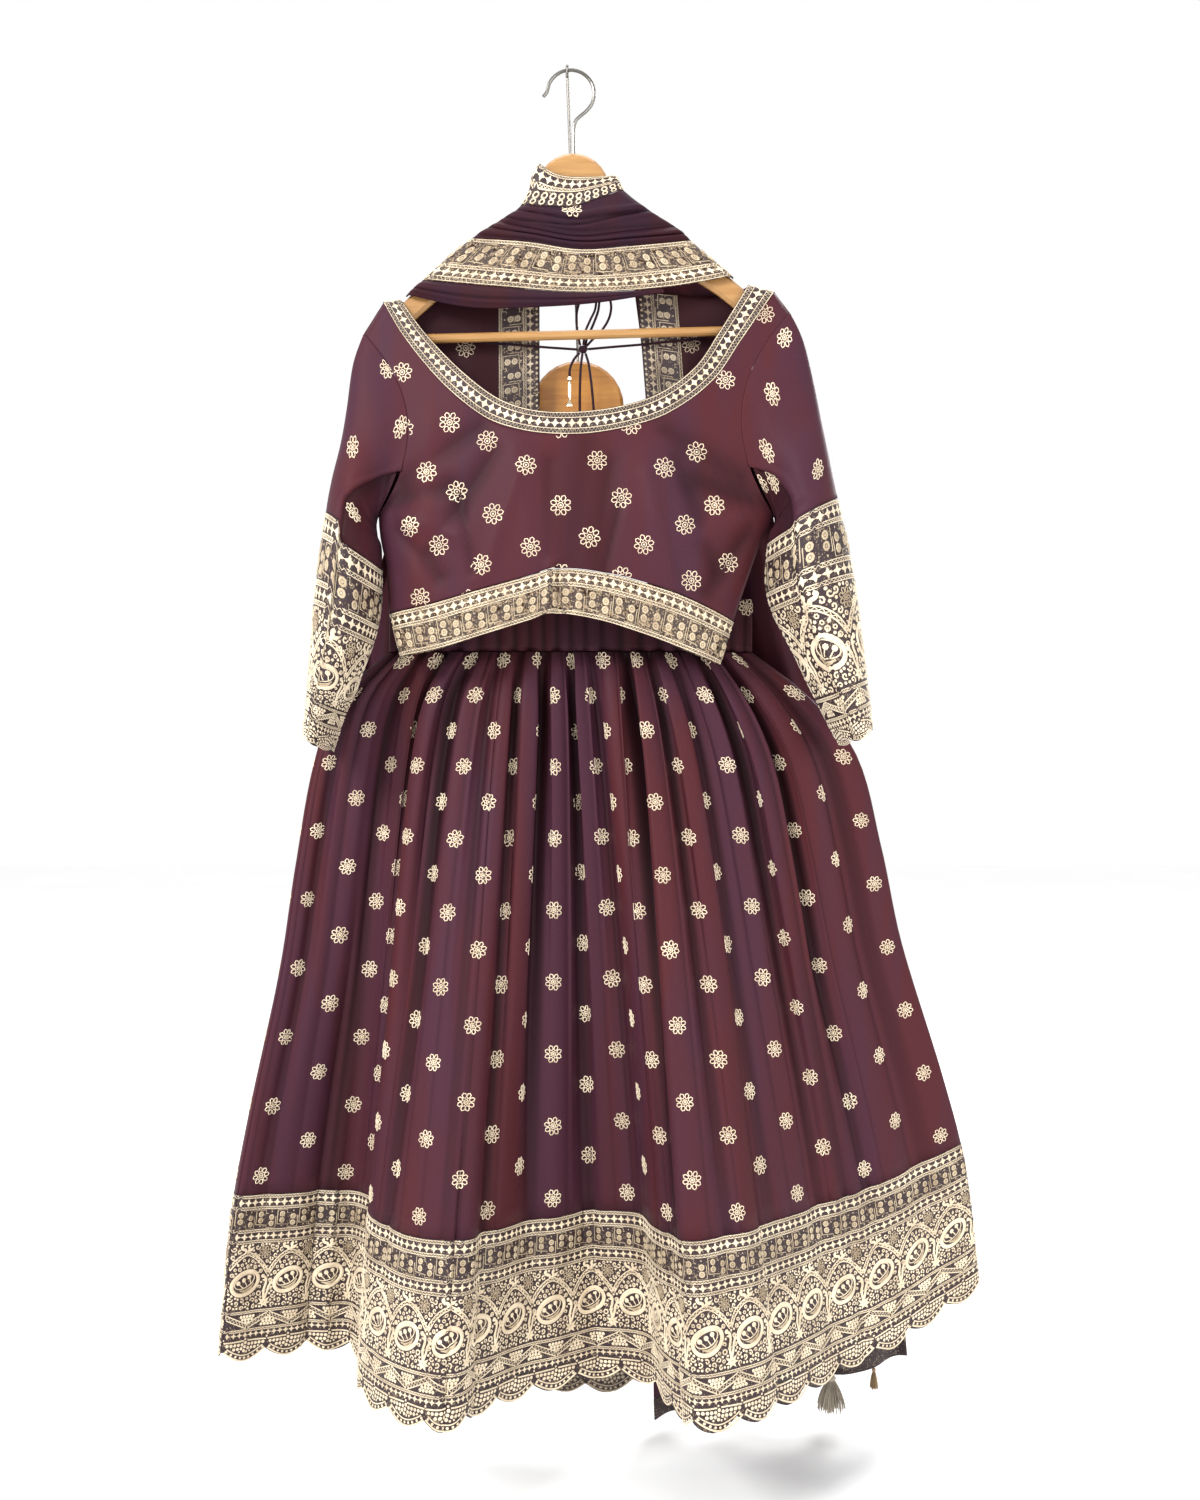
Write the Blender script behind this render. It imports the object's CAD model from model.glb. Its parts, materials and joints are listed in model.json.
"""A lehenga set on its hangers: plum shot silk with cream embroidery. Sizes are in millimetres until
a mesh is made, +Z up and -Y to the front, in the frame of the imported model."""
import json
import math

import bpy
import numpy as np
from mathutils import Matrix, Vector
from mathutils.kdtree import KDTree

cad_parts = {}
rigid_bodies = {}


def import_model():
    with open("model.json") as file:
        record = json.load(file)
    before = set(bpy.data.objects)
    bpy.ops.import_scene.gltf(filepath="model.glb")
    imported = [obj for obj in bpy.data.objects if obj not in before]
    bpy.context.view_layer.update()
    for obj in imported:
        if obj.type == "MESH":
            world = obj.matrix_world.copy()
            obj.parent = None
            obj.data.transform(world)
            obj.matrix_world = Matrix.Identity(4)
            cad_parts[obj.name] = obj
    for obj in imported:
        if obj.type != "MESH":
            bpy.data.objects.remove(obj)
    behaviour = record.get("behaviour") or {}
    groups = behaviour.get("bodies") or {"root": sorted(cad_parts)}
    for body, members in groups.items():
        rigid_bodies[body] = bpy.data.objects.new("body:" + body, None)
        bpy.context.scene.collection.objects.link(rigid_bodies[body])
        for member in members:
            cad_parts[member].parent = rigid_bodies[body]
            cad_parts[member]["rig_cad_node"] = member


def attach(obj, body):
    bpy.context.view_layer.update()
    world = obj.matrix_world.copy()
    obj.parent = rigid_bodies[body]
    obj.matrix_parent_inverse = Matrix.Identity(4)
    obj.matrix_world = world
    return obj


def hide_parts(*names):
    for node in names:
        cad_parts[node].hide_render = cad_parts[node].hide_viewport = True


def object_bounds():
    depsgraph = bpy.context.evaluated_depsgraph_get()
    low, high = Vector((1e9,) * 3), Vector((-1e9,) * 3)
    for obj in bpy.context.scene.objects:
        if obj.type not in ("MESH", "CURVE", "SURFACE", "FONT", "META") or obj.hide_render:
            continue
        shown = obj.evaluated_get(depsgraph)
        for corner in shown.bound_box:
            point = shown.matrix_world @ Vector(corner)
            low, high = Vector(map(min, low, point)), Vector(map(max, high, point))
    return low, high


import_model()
cad_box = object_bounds()

MM = 0.001
CLOTH = 1.1  # wall of the silk
LACE = 1.6  # wall of the embroidered borders
RELIEF = 0.6  # height of threads as a share of the drawn one
CLEAR = 0.22  # embroidery lies this far off its cloth, clear of the mesh's flat faces
SUNK = -0.15  # height of the edges of threads and dots, as drawn
CHART_ROWS, CHART_COLUMNS = 121, 400  # least grid on which lengths along a cloth are measured
PI = math.pi

# ---------------------------------------------------------------- camera
CAMERA = (33, -1650, -746)
FOCAL_SHARE = 1.0  # focal length over the long side of the frame


def make_camera():
    data = bpy.data.cameras.new("camera")
    data.lens = 36 * FOCAL_SHARE
    data.sensor_width = 36
    data.clip_end = 30
    camera = bpy.data.objects.new("camera", data)
    camera.location = Vector(CAMERA) * MM
    camera.rotation_euler = (PI / 2, 0, 0)
    bpy.context.collection.objects.link(camera)
    bpy.context.scene.camera = camera


make_camera()


# ---------------------------------------------------------------- numbers and lines
STEPS = 24  # points on a curve from one of its given points to the next


def lerp(start, end, share):
    return start + (end - start) * share


def rounded_off(distance, reach):
    """0 at an edge and 1 from reach on, along a quarter circle."""
    return np.sqrt(1 - (1 - np.clip(distance / reach, 0, 1)) ** 2)


def smoothstep(low, high, value):
    share = np.clip((value - low) / (high - low), 0, 1)
    return share * share * (3 - 2 * share)


def hermite(start, end, leaving, arriving, t):
    """A cubic from start to end with its slopes there."""
    first = (1 + 2 * t) * (1 - t) ** 2 * start + t * (1 - t) ** 2 * leaving
    return first + t * t * (3 - 2 * t) * end + t * t * (t - 1) * arriving


def four_rows(row_point, last, place, u):
    """The rows of points about a place from 0 to last, and its share of the way between the middle two."""
    k = np.minimum(place.astype(int), last - 1)
    near = [row_point(np.clip(k + step, 0, last), u) for step in (-1, 0, 1, 2)]
    return *near, (place - k)[..., None]


def columns_of(rows, count):
    return [np.array([row[k] for row in rows], float) for k in range(count)]


def through(rows, key, column):
    """A smooth function through two columns of a table."""
    rows = sorted(rows, key=lambda row: row[key])
    at = np.array([row[key] for row in rows], float)
    value = np.array([row[column] for row in rows], float)
    last = len(at) - 1
    before = np.maximum(np.arange(last + 1) - 1, 0)
    after = np.minimum(np.arange(last + 1) + 1, last)
    slope = (value[after] - value[before]) / (at[after] - at[before])

    def function(where):
        x = np.clip(where, at[0], at[-1])
        i = np.clip(np.searchsorted(at[1:], x), 0, last - 1)
        span = at[i + 1] - at[i]
        return hermite(value[i], value[i + 1], span * slope[i], span * slope[i + 1], (x - at[i]) / span)

    return function


def catmull(points, closed, steps=STEPS):
    """Dense points on a centripetal Catmull-Rom curve."""
    p = np.array(points, float)
    if closed:
        p = np.vstack([p[-1], p, p[0], p[1]])
    else:
        p = np.vstack([2 * p[0] - p[1], p, 2 * p[-1] - p[-2]])
    t = np.linspace(0, 1, steps, endpoint=False)[:, None]
    out = []
    for a, b, c, d in zip(p[:-3], p[1:-2], p[2:-1], p[3:]):
        da, db, dc = (math.sqrt(np.linalg.norm(q - r)) or 1 for q, r in ((b, a), (c, b), (d, c)))
        leaving = ((b - a) / da - (c - a) / (da + db) + (c - b) / db) * db
        arriving = ((c - b) / db - (d - b) / (db + dc) + (d - c) / dc) * db
        out.append(hermite(b, c, leaving, arriving, t))
    out.append(p[-2][None])
    return np.vstack(out)


def shares_of(points):
    """Each point's share of the line's length."""
    length = np.r_[0, np.cumsum(np.linalg.norm(np.diff(points, axis=0), axis=1))]
    return length / length[-1]


def line_through(points):
    """A smooth open line as a function of the share of its length."""
    dense = catmull(points, False)
    shares = shares_of(dense)

    def line(share):
        share = np.clip(share, 0, 1)
        return tuple(np.interp(share, shares, dense[:, k]) for k in range(dense.shape[1]))

    return line


def joined(parts):
    """Several lines one after another, each over its own share of the whole."""

    def line(share):
        share = np.asarray(share, float)
        x, z, start = np.zeros_like(share), np.zeros_like(share), 0.0
        for i, (piece, part) in enumerate(parts):
            here = (share >= start) & ((share < start + part) | (i == len(parts) - 1))
            px, pz = piece(np.clip((share - start) / part, 0, 1))
            x, z = np.where(here, px, x), np.where(here, pz, z)
            start += part
        return x, z

    return line


def ring_through(points, seam_row):
    """A closed ring; its front half runs from 0 to 0.5 and its back half from 0.5 to 1."""
    dense = catmull(points, True)
    shares = shares_of(dense)
    front = shares[seam_row * STEPS]

    def ring(turn):
        turn = np.mod(turn, 1)
        share = np.where(turn < 0.5, turn * 2 * front, lerp(front, 1, turn * 2 - 1))
        return tuple(np.interp(share, shares, dense[:, k]) for k in range(3))

    return ring


def stacked(x, y, z):
    """Points from their coordinates, numbers or arrays."""
    return np.stack(np.broadcast_arrays(x, y, z), axis=-1)


# ---------------------------------------------------------------- meshes
def new_mesh(name, points, faces, material, fold=None, cloth_uv=None):
    """A mesh object from points in millimetres and faces with 3 or 4 corners each."""
    mesh = bpy.data.meshes.new(name)
    count, sides = faces.shape
    corners = faces.astype(np.int32).ravel()
    mesh.vertices.add(len(points))
    mesh.vertices.foreach_set("co", (np.asarray(points) * MM).astype(np.float32).ravel())
    mesh.loops.add(len(corners))
    mesh.loops.foreach_set("vertex_index", corners)
    mesh.polygons.add(count)
    mesh.polygons.foreach_set("loop_start", np.arange(0, count * sides, sides, dtype=np.int32))
    mesh.polygons.foreach_set("use_smooth", np.full(count, True))
    mesh.update(calc_edges=True)
    if fold is not None:
        mesh.attributes.new("fold", "FLOAT", "POINT").data.foreach_set("value", fold.astype(np.float32))
    if cloth_uv is not None:
        layer = mesh.uv_layers.new(name="cloth")
        layer.uv.foreach_set("vector", (cloth_uv[corners] * MM).astype(np.float32).ravel())
    mesh.materials.append(material)
    made = bpy.data.objects.new(name, mesh)
    bpy.context.collection.objects.link(made)
    return made


def dress(obj, node_name=None):
    """Puts a piece on the part's body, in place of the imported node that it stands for."""
    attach(obj, "root")
    if node_name:
        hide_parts(node_name)
    return obj


def normals_of(surface, u, v, joins=False):
    """Unit normals of a surface; one that joins is also defined beyond u 0 and 1."""
    small = 5e-4
    u_low, u_high = u - small, u + small
    if not joins:
        u_low, u_high = np.maximum(u_low, 0), np.minimum(u_high, 1)
    along = surface(u_high, v) - surface(u_low, v)
    down = surface(u, np.minimum(v + small, 1)) - surface(u, np.maximum(v - small, 0))
    normal = np.cross(along, down)
    return normal / np.maximum(np.linalg.norm(normal, axis=-1, keepdims=True), 1e-9)


class Cloth:
    """A sheet of cloth: a surface of (u, v), with the lengths along it, for pieces that lie on it."""

    def __init__(self, surface, across, down, thickness, around=False, joins=False, shade=None,
                 flip=False):
        self.surface, self.thickness, self.shade = surface, thickness, shade
        self.around, self.joins = around, joins or around
        self.us = np.linspace(0, 1, across + 1) if np.isscalar(across) else np.asarray(across)
        self.vs = np.linspace(0, 1, down + 1) if np.isscalar(down) else np.asarray(down)
        self.side = -1 if flip else 1
        self.grid_v = np.linspace(0, 1, CHART_ROWS)
        self.grid_u = np.linspace(0, 1, max(CHART_COLUMNS, 3 * len(self.us)))
        v, u = np.meshgrid(self.grid_v, self.grid_u, indexing="ij")
        points = surface(u, v)
        steps = np.linalg.norm(np.diff(points, axis=1), axis=2)
        self.along = np.hstack([np.zeros((len(self.grid_v), 1)), np.cumsum(steps, axis=1)])
        self.column = np.linalg.norm(np.diff(points, axis=0), axis=2).sum(axis=0)

    def length(self, v=0.5):
        """Length along the cloth at a height."""
        return float(self.along[int(round(v * (len(self.grid_v) - 1))), -1])

    def depth(self):
        """Mean size down the cloth."""
        return float(self.column.mean())

    def make(self, name, material, node_name, inside=0.0):
        """A closed shell of the cloth's thickness; inside darkens the face that is turned away."""
        v, u = np.meshgrid(self.vs, self.us[:-1] if self.around else self.us, indexing="ij")
        middle = self.surface(u, v)
        normal = normals_of(self.surface, u, v, self.joins)
        rows, columns = u.shape
        outer = (middle + normal * self.thickness / 2).reshape(-1, 3)
        inner = (middle - normal * self.thickness / 2).reshape(-1, 3)
        index = np.arange(rows * columns).reshape(rows, columns)
        if self.around:
            index = np.hstack([index, index[:, :1]])
        a, b, c, d = index[:-1, :-1], index[:-1, 1:], index[1:, 1:], index[1:, :-1]
        quads = np.stack([a, d, c, b], -1).reshape(-1, 4)
        other = np.stack([a, b, c, d], -1).reshape(-1, 4) + rows * columns
        rims = [self.rim(index[0]), self.rim(index[-1])[:, ::-1]]
        if not self.around:
            rims += [self.rim(index[:, 0])[:, ::-1], self.rim(index[:, -1])]
        faces = np.vstack([quads, other, *rims])
        shade = self.shade(u, v).ravel() if self.shade else np.zeros(u.size)
        flat = stacked(u * self.length(), v * self.depth(), 0)[..., :2].reshape(-1, 2)
        points = np.vstack([outer, inner])
        darker = np.maximum(shade, inside)
        fold = [shade, darker] if self.side > 0 else [darker, shade]
        if self.volume(points, faces) < 0:
            faces = faces[:, ::-1]
        made = new_mesh(name, points, faces, material, np.concatenate(fold), np.vstack([flat, flat]))
        return dress(made, node_name)

    def rim(self, line):
        """The narrow faces between the two sides along a line of points."""
        count = len(self.vs) * (len(self.us) - self.around)
        return np.stack([line[:-1], line[1:], line[1:] + count, line[:-1] + count], -1)

    @staticmethod
    def volume(points, faces):
        """A multiple of the enclosed volume, below 0 when the faces look inwards."""
        a, b, c, d = (points[faces[:, k]] for k in range(4))
        return np.einsum("ij,ij->i", a, np.cross(b, c) + np.cross(c, d)).sum()

    def lay(self, u, v, height, side=None):
        """Points that lie on the cloth's face, a height above it."""
        side = self.side if side is None else side
        normal = normals_of(self.surface, u, v, self.joins)
        return self.surface(u, v) + normal * (side * (self.thickness / 2 + CLEAR + height))[..., None]

    def place(self, flat, at_u, at_v):
        """Flat points (x, y, height) about a place on the cloth, at their true size."""
        column = np.interp(at_u, self.grid_u, self.column)
        v = at_v + flat[:, 1] / column
        row = np.clip(np.round(v * (len(self.grid_v) - 1)).astype(int), 0, len(self.grid_v) - 1)
        u = np.empty(len(flat))
        for k in np.unique(row):
            here = row == k
            start = np.interp(at_u[here], self.grid_u, self.along[k])
            u[here] = np.interp(start + flat[here, 0], self.along[k], self.grid_u, left=-1, right=2)
        inside = (u >= 0) & (u <= 1) & (v >= 0) & (v <= 1)
        return self.lay(np.clip(u, 0, 1), np.clip(v, 0, 1), flat[:, 2]), inside

    def chart(self, flat, length, depth, side=None):
        """A flat chart of a length and depth, stretched over the whole cloth."""
        middle = self.along[len(self.grid_v) // 2]
        u = np.interp(flat[:, 0] / length, middle / middle[-1], self.grid_u)
        v = flat[:, 1] / depth
        inside = (flat[:, 0] >= -0.01) & (flat[:, 0] <= length + 0.01) & (v >= -0.001) & (v <= 1.001)
        return self.lay(u, np.clip(v, 0, 1), flat[:, 2], side), inside


# ---------------------------------------------------------------- embroidery, drawn flat
class Flat:
    """Embroidery drawn flat in cloth millimetres: x along, y down and a low height."""

    def __init__(self):
        self.points, self.faces, self.count = [], [], 0

    def add(self, points, faces):
        self.points.append(np.asarray(points, float))
        self.faces.append(np.asarray(faces, int) + self.count)
        self.count += len(points)
        return self

    def arrays(self):
        return np.vstack(self.points), np.vstack(self.faces)

    def stamp(self, other, x=0.0, y=0.0, turn=0.0, size=1.0):
        """Copies of another drawing; x and y may be lists of places."""
        points, faces = other.arrays()
        xs, ys = np.broadcast_arrays(np.atleast_1d(x).astype(float), np.atleast_1d(y).astype(float))
        px, py = points[:, 0] * size, points[:, 1] * size
        cos, sin = math.cos(turn), math.sin(turn)
        turned = stacked(px * cos - py * sin, px * sin + py * cos, points[:, 2])
        copies = turned[None] + stacked(xs, ys, 0.0)[:, None]
        steps = (np.arange(len(xs)) * len(points))[:, None, None]
        return self.add(copies.reshape(-1, 3), (faces[None] + steps).reshape(-1, 3))

    def thread(self, line, width, height=0.7, closed=False):
        """A raised thread along a line."""
        line = np.asarray(line, float)
        if closed:
            ahead, behind = np.roll(line, -1, axis=0), np.roll(line, 1, axis=0)
        else:
            ahead, behind = np.vstack([line[1:], line[-1:]]), np.vstack([line[:1], line[:-1]])
        tangent = ahead - behind
        tangent /= np.maximum(np.linalg.norm(tangent, axis=1, keepdims=True), 1e-9)
        aside = np.stack([-tangent[:, 1], tangent[:, 0]], -1) * width / 2
        n = len(line)
        low, top = np.full(n, SUNK), np.full(n, RELIEF * height)
        points = np.vstack([np.c_[line + aside, low], np.c_[line, top], np.c_[line - aside, low]])
        i = np.arange(n if closed else n - 1)
        j = (i + 1) % n
        faces = []
        for a in (0, n):
            faces += [np.stack([a + i, a + j, a + n + i], -1), np.stack([a + j, a + n + j, a + n + i], -1)]
        return self.add(points, np.vstack(faces))

    def dot(self, x, y, radius, height=0.8, sides=6):
        """Small domes; x and y may be lists of places."""
        rim = np.c_[circle(radius, sides), np.full(sides, SUNK)]
        faces = [(0, k + 1, (k + 1) % sides + 1) for k in range(sides)]
        return self.stamp(Flat().add(np.vstack([[0, 0, RELIEF * height], rim]), faces), x, y)

    def leaf(self, start, end, width, height=0.8):
        """A pointed leaf with a raised spine."""
        start, end = np.asarray(start, float), np.asarray(end, float)
        run = end - start
        aside = np.array([-run[1], run[0]]) / np.linalg.norm(run) * width / 2
        at = [start, start + run * 0.4 + aside, start + run * 0.4 - aside, start + run * 0.45, end]
        z = [-0.1, SUNK, SUNK, height, -0.1]
        return self.add(np.c_[np.array(at), z], [(0, 3, 1), (0, 2, 3), (1, 3, 4), (3, 2, 4)])

    def ring(self, x, y, radius, width, sides=8, height=0.7):
        """Raised rings; x and y may be lists of places."""
        return self.stamp(Flat().thread(circle(radius, sides), width, height, closed=True), x, y)

    def rope(self, line, width=4.2, step=2.6):
        """A plaited band along a line: two edges and the stitches between them."""
        line = np.asarray(line, float)
        run = np.gradient(line, axis=0)
        aside = np.stack([-run[:, 1], run[:, 0]], -1) / np.linalg.norm(run, axis=1, keepdims=True)
        for side in (-1, 1):
            self.thread(line + aside * side * (width / 2 - 0.6), 1.3, 0.9)
        length = np.r_[0, np.cumsum(np.linalg.norm(np.diff(line, axis=0), axis=1))]
        at = np.arange(0, length[-1], step)
        middle, across = (
            np.stack([np.interp(at, length, a[:, k]) for k in (0, 1)], -1) for a in (line, aside)
        )
        swing = np.where(np.arange(len(at)) % 2, 1, -1)[:, None] * (width / 2 - 1.2)
        return self.thread(middle + across * swing, 1.0, 0.8)

    def fill(self, width, low, high, radius, gap, motif, inside):
        """Copies of a motif of a radius wherever a repeat of a width still has room for them."""
        points, faces = self.arrays()
        corners = points[faces][:, :, :2]
        seen = np.vstack([corners.reshape(-1, 2), corners.mean(axis=1),
                          ((corners + np.roll(corners, 1, axis=1)) / 2).reshape(-1, 2)])
        seen = np.unique(np.round(seen, 1), axis=0)
        seen = np.vstack([seen + (shift, 0) for shift in (-width, 0, width)])
        tree = KDTree(len(seen))
        for i, (x, y) in enumerate(seen):
            tree.insert((x, y, 0), i)
        tree.balance()
        step = 0.5 * radius
        x, y = np.meshgrid(np.arange(0, width, step), np.arange(low + radius, high - radius, step))
        places = np.stack([x.ravel(), y.ravel()], -1)
        chosen = []

        def far_from(a, b):
            across = (a - x + width / 2) % width - width / 2
            return math.hypot(across, b - y) > 2 * radius + gap

        for x, y in places[inside(places[:, 0], places[:, 1])]:
            if tree.find((x, y, 0))[2] >= radius + gap and all(far_from(a, b) for a, b in chosen):
                chosen.append((x, y))
        if chosen:
            self.stamp(motif, *np.array(chosen).T)


def circle(radius, sides):
    angle = np.arange(sides) * 2 * PI / sides
    return np.stack([radius * np.cos(angle), radius * np.sin(angle)], -1)


def ellipse(x, y, across, tall, turn=0.0, count=16, start=0.0, sweep=2 * PI):
    """Points on an ellipse, or on a part of one."""
    angle = start + sweep * np.arange(count) / (count if sweep >= 2 * PI else count - 1)
    px, py = across / 2 * np.cos(angle), tall / 2 * np.sin(angle)
    cos, sin = math.cos(turn), math.sin(turn)
    return np.stack([x + px * cos - py * sin, y + px * sin + py * cos], -1)


def curl(x, y, radius, start, steps=8, mirror=False):
    """Points on a spiral that ends in its middle."""
    share = np.linspace(0, 1, steps)
    angle = start + (-1 if mirror else 1) * 2 * PI * share
    reach = radius * (1 - 0.85 * share)
    return np.stack([x + reach * np.cos(angle), y + reach * np.sin(angle)], -1)


def flower(radius, petals=8, sides=6):
    """An open flower: looped petals about a ringed centre."""
    drawn = Flat()
    for k in range(petals):
        turn = 2 * PI * (k + 0.5) / petals
        middle = 0.7 * radius
        at = middle * math.cos(turn), middle * math.sin(turn)
        loop = ellipse(*at, 0.58 * radius, 0.45 * radius, turn, sides)
        drawn.thread(loop, 0.12 * radius, 0.8, closed=True)
    drawn.ring(0, 0, 0.27 * radius, 0.12 * radius, 7, 0.8)
    return drawn.dot(0, 0, 0.15 * radius, 1.0, 5)


def braid(drawn, length, y, height=3.4, step=2.0):
    """A plaited line: two edges with a zigzag between them."""
    for edge in (0.35, height - 0.35):
        x = np.linspace(0, length, max(2, int(length / 7)))
        drawn.thread(np.stack([x, np.full(len(x), y + edge)], -1), 0.8, 0.6)
    x = np.arange(0, length + step / 2, step)
    zigzag = y + height / 2 + (height / 2 - 0.8) * np.where(np.arange(len(x)) % 2, 1, -1)
    drawn.thread(np.stack([x, zigzag], -1), 0.62, 0.5)


def cross_row(drawn, length, y, height, period=9.4):
    """A row of four-pointed stars linked by their arms, which leave small dark bow-ties between them."""
    count = max(1, round(length / period))
    period = length / count
    one = Flat()
    middle = height / 2
    for side in (-1, 1):
        one.leaf((0, middle), (side * period * 0.52, middle), height * 0.32, 1.0)
        one.leaf((0, middle), (0, middle + side * height * 0.54), height * 0.36, 1.0)
    one.dot(0, middle, height * 0.25, 1.2, 7)
    drawn.stamp(one, (np.arange(count) + 0.5) * period, y)


def key_band(drawn, length, y, height, period=27.0, radius=3.4):
    """Stacked pairs of discs, staggered up and down, between stepped key lines."""
    count = max(1, round(length / period))
    period = length / count
    high, low = y + 0.03 * height, y + 0.97 * height
    pair = Flat()
    for k in (0, 1):
        pair.ring(0, 2.12 * radius * k, 0.72 * radius, 0.56 * radius, 8, 1.5)
        pair.dot(0, 2.12 * radius * k, 0.36 * radius, 1.3, 5)
    upper, lower = high + 1.4 * radius, low - 3.52 * radius
    drawn.stamp(pair, (np.arange(count) + 0.25) * period, upper)
    drawn.stamp(pair, (np.arange(count) + 0.75) * period, lower)
    middle, reach = 1.06 * radius, 2.3 * radius
    edge, half, end = 0.03 * period, period / 2, 0.95 * period
    foot, head = upper + middle + reach, lower + middle - reach
    key = Flat()
    key.thread([(edge, foot), (edge, high), (half - edge, high), (half - edge, head),
                (half + 0.05 * period, head)], 0.9, 0.7)
    key.thread([(edge, foot), (half + edge, foot + 1.2), (half + edge, low), (end, low),
                (end, head + 0.4 * reach)], 0.9, 0.7)
    drawn.stamp(key, np.arange(count) * period, 0)
    places = (np.arange(count) + 0.5) * period
    drawn.dot(places + 0.25 * period, np.full(count, high + 1.8), 1.0, 0.8, 4)
    drawn.dot(places - 0.25 * period, np.full(count, low - 1.8), 1.0, 0.8, 4)


def border_rows(length, *rows):
    """Rows of a border, each a maker, its place down and its sizes; the paired rings are golden."""
    drawn, golden = Flat(), Flat()
    for maker, y, *sizes in rows:
        maker(golden if maker is key_band else drawn, length, y, *sizes)
    return drawn, golden


CELL = (53.0, 76.0)  # width and height of the mango's repeat as it is drawn
# Curls round the mango: place, radius and where each starts.
CURLS = [
    (33.4, 4.6, 3.3, 0), (30.6, 12.4, 2.9, 3), (52, 3.8, 3.0, 1), (52, 18.2, 3.0, 4), (35.0, 15.0, 2.6, 2),
    (3.6, 5.2, 3.4, 3), (3.2, 14.4, 3.0, 1), (10.4, 8.8, 2.9, 5), (3.0, 61.6, 3.3, 0), (10.2, 66.6, 3.2, 2),
    (17.4, 64.4, 3.1, 4), (24.6, 68.2, 3.2, 1), (31.4, 64.8, 3.2, 3), (33.2, 72.2, 2.8, 5),
    (3.4, 71.4, 3.1, 2), (17.2, 72.6, 2.8, 0), (43.4, 26.6, 2.9, 0), (46.6, 31.4, 2.4, 2),
    (39.4, 50.4, 2.4, 3),
]


def mango_cell():
    """One repeat: a tilted mango with three stemmed seeds and a crown, under a striped roof with a
    palmette, beside a sprout; the flower between two roofs is golden and comes apart."""
    one, gold = Flat(), Flat()
    middle, tilt = np.array([20.5, 44.5]), -0.42
    along = np.array([math.cos(tilt), math.sin(tilt)])
    down = np.array([-math.sin(tilt), math.cos(tilt)])
    blossom, blossom_radius = (43.0, 11.0), 7.4

    def stem(points, width, height):
        one.thread(catmull(points, False, 3), width, height)

    one.thread(ellipse(*middle, 34.5, 25.0, tilt, 24), 4.4, 1.8, closed=True)
    one.thread(ellipse(*(middle - down * 2.4), 26.5, 14.5, tilt, 18), 1.2, 1.0, closed=True)
    for inset in (0.0, 2.1):
        crescent = ellipse(*(middle + down * (1.6 + inset)), 22 - 3 * inset, 12, tilt, 9, 0.5, 2.15)
        gold.thread(crescent, 1.7, 1.2)
    for k in (-1, 0, 1):
        seed = middle + along * (7.6 * k - 0.4) - down * 4.2
        foot = middle + along * (5.6 * k + 1.0) + down * 3.6
        one.thread([seed, lerp(seed, foot, 0.5), foot], 1.2, 0.9)
        one.dot(*seed, 2.7, 1.5, 7)
    for k in range(7):
        angle = PI + 0.1 + (PI - 0.3) * k / 6
        out = along * 22.8 * math.cos(angle) + down * 18.2 * math.sin(angle)
        one.ring(*(middle + out), 1.9, 1.3, 7, 1.3)
        one.dot(*(middle + out), 0.8, 1.2, 4)
        one.thread([middle + 0.84 * out, middle + 0.98 * out], 1.3, 0.8)
        one.leaf(middle + 1.2 * out, middle + 1.48 * out, 3.2, 1.0)
    roof = [(-4.5, 35), (4, 22), (16, 12.4), (24, 11.8), (38, 21), (48.5, 35)]
    one.rope(catmull(roof, False, 4), 4.6, 2.6)
    stem([(18.5, 9.2), (17.5, 6.4), (13.8, 5.4), (12.2, 2.8), (14.2, 1.4)], 3.2, 1.5)
    stem([(20.8, 9.2), (22.6, 6.0), (21.6, 3.2), (23.6, 1.2)], 3.2, 1.5)
    one.leaf((22.2, 9.0), (29.4, 3.6), 3.8, 1.3)
    gold.stamp(flower(blossom_radius), *blossom)
    stem([(43.4, 38.4), (46.6, 41), (46.8, 47), (44.8, 54), (45.4, 62), (46, 67)], 2.9, 1.5)
    one.dot(42.8, 38.2, 2.5, 1.5)
    stem([(52.6, 47), (50.2, 51), (49.0, 57), (46.4, 64)], 2.7, 1.4)
    one.dot(53.0, 46.4, 2.4, 1.4)
    one.ring(38.8, 57.6, 2.4, 1.6, 8, 1.2)
    for end in ((38.6, 63.4), (38.4, 70.2), (42.8, 74.6), (50.4, 74.6), (54, 69), (52.8, 62.4)):
        one.leaf((46, 68.5), end, 3.5, 1.3)
    for k, (x, y, radius, start) in enumerate(CURLS):
        one.thread(curl(x, y, radius, start, mirror=k % 2 == 1), 1.5, 1.1)

    def free(x, y):
        local = np.stack([x, y], -1) - middle
        a, b = local @ along, local @ down
        far = np.hypot(x - blossom[0], y - blossom[1]) > blossom_radius + 2
        return ((a / 16.5) ** 2 + (b / 11.5) ** 2 > 1) & far

    top, bottom = 0.2, CELL[1] - 0.2
    one.fill(CELL[0], top, bottom, 2.1, 0.9, Flat().ring(0, 0, 1.5, 1.2, 6, 1.2), free)
    one.fill(CELL[0], top, bottom, 1.3, 0.8, Flat().dot(0, 0, 1.5, 1.1, 5), free)
    return one, gold


MANGO_CELL = mango_cell()


def mango_field(drawn, golden, length, y, height, count):
    """A row of mangos, each repeat stretched to its share of the length."""
    for target, source in zip((drawn, golden), MANGO_CELL):
        points, faces = source.arrays()
        cell = Flat().add(points * (length / count / CELL[0], height / CELL[1], 1), faces)
        target.stamp(cell, np.arange(count) * length / count, y)


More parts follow.
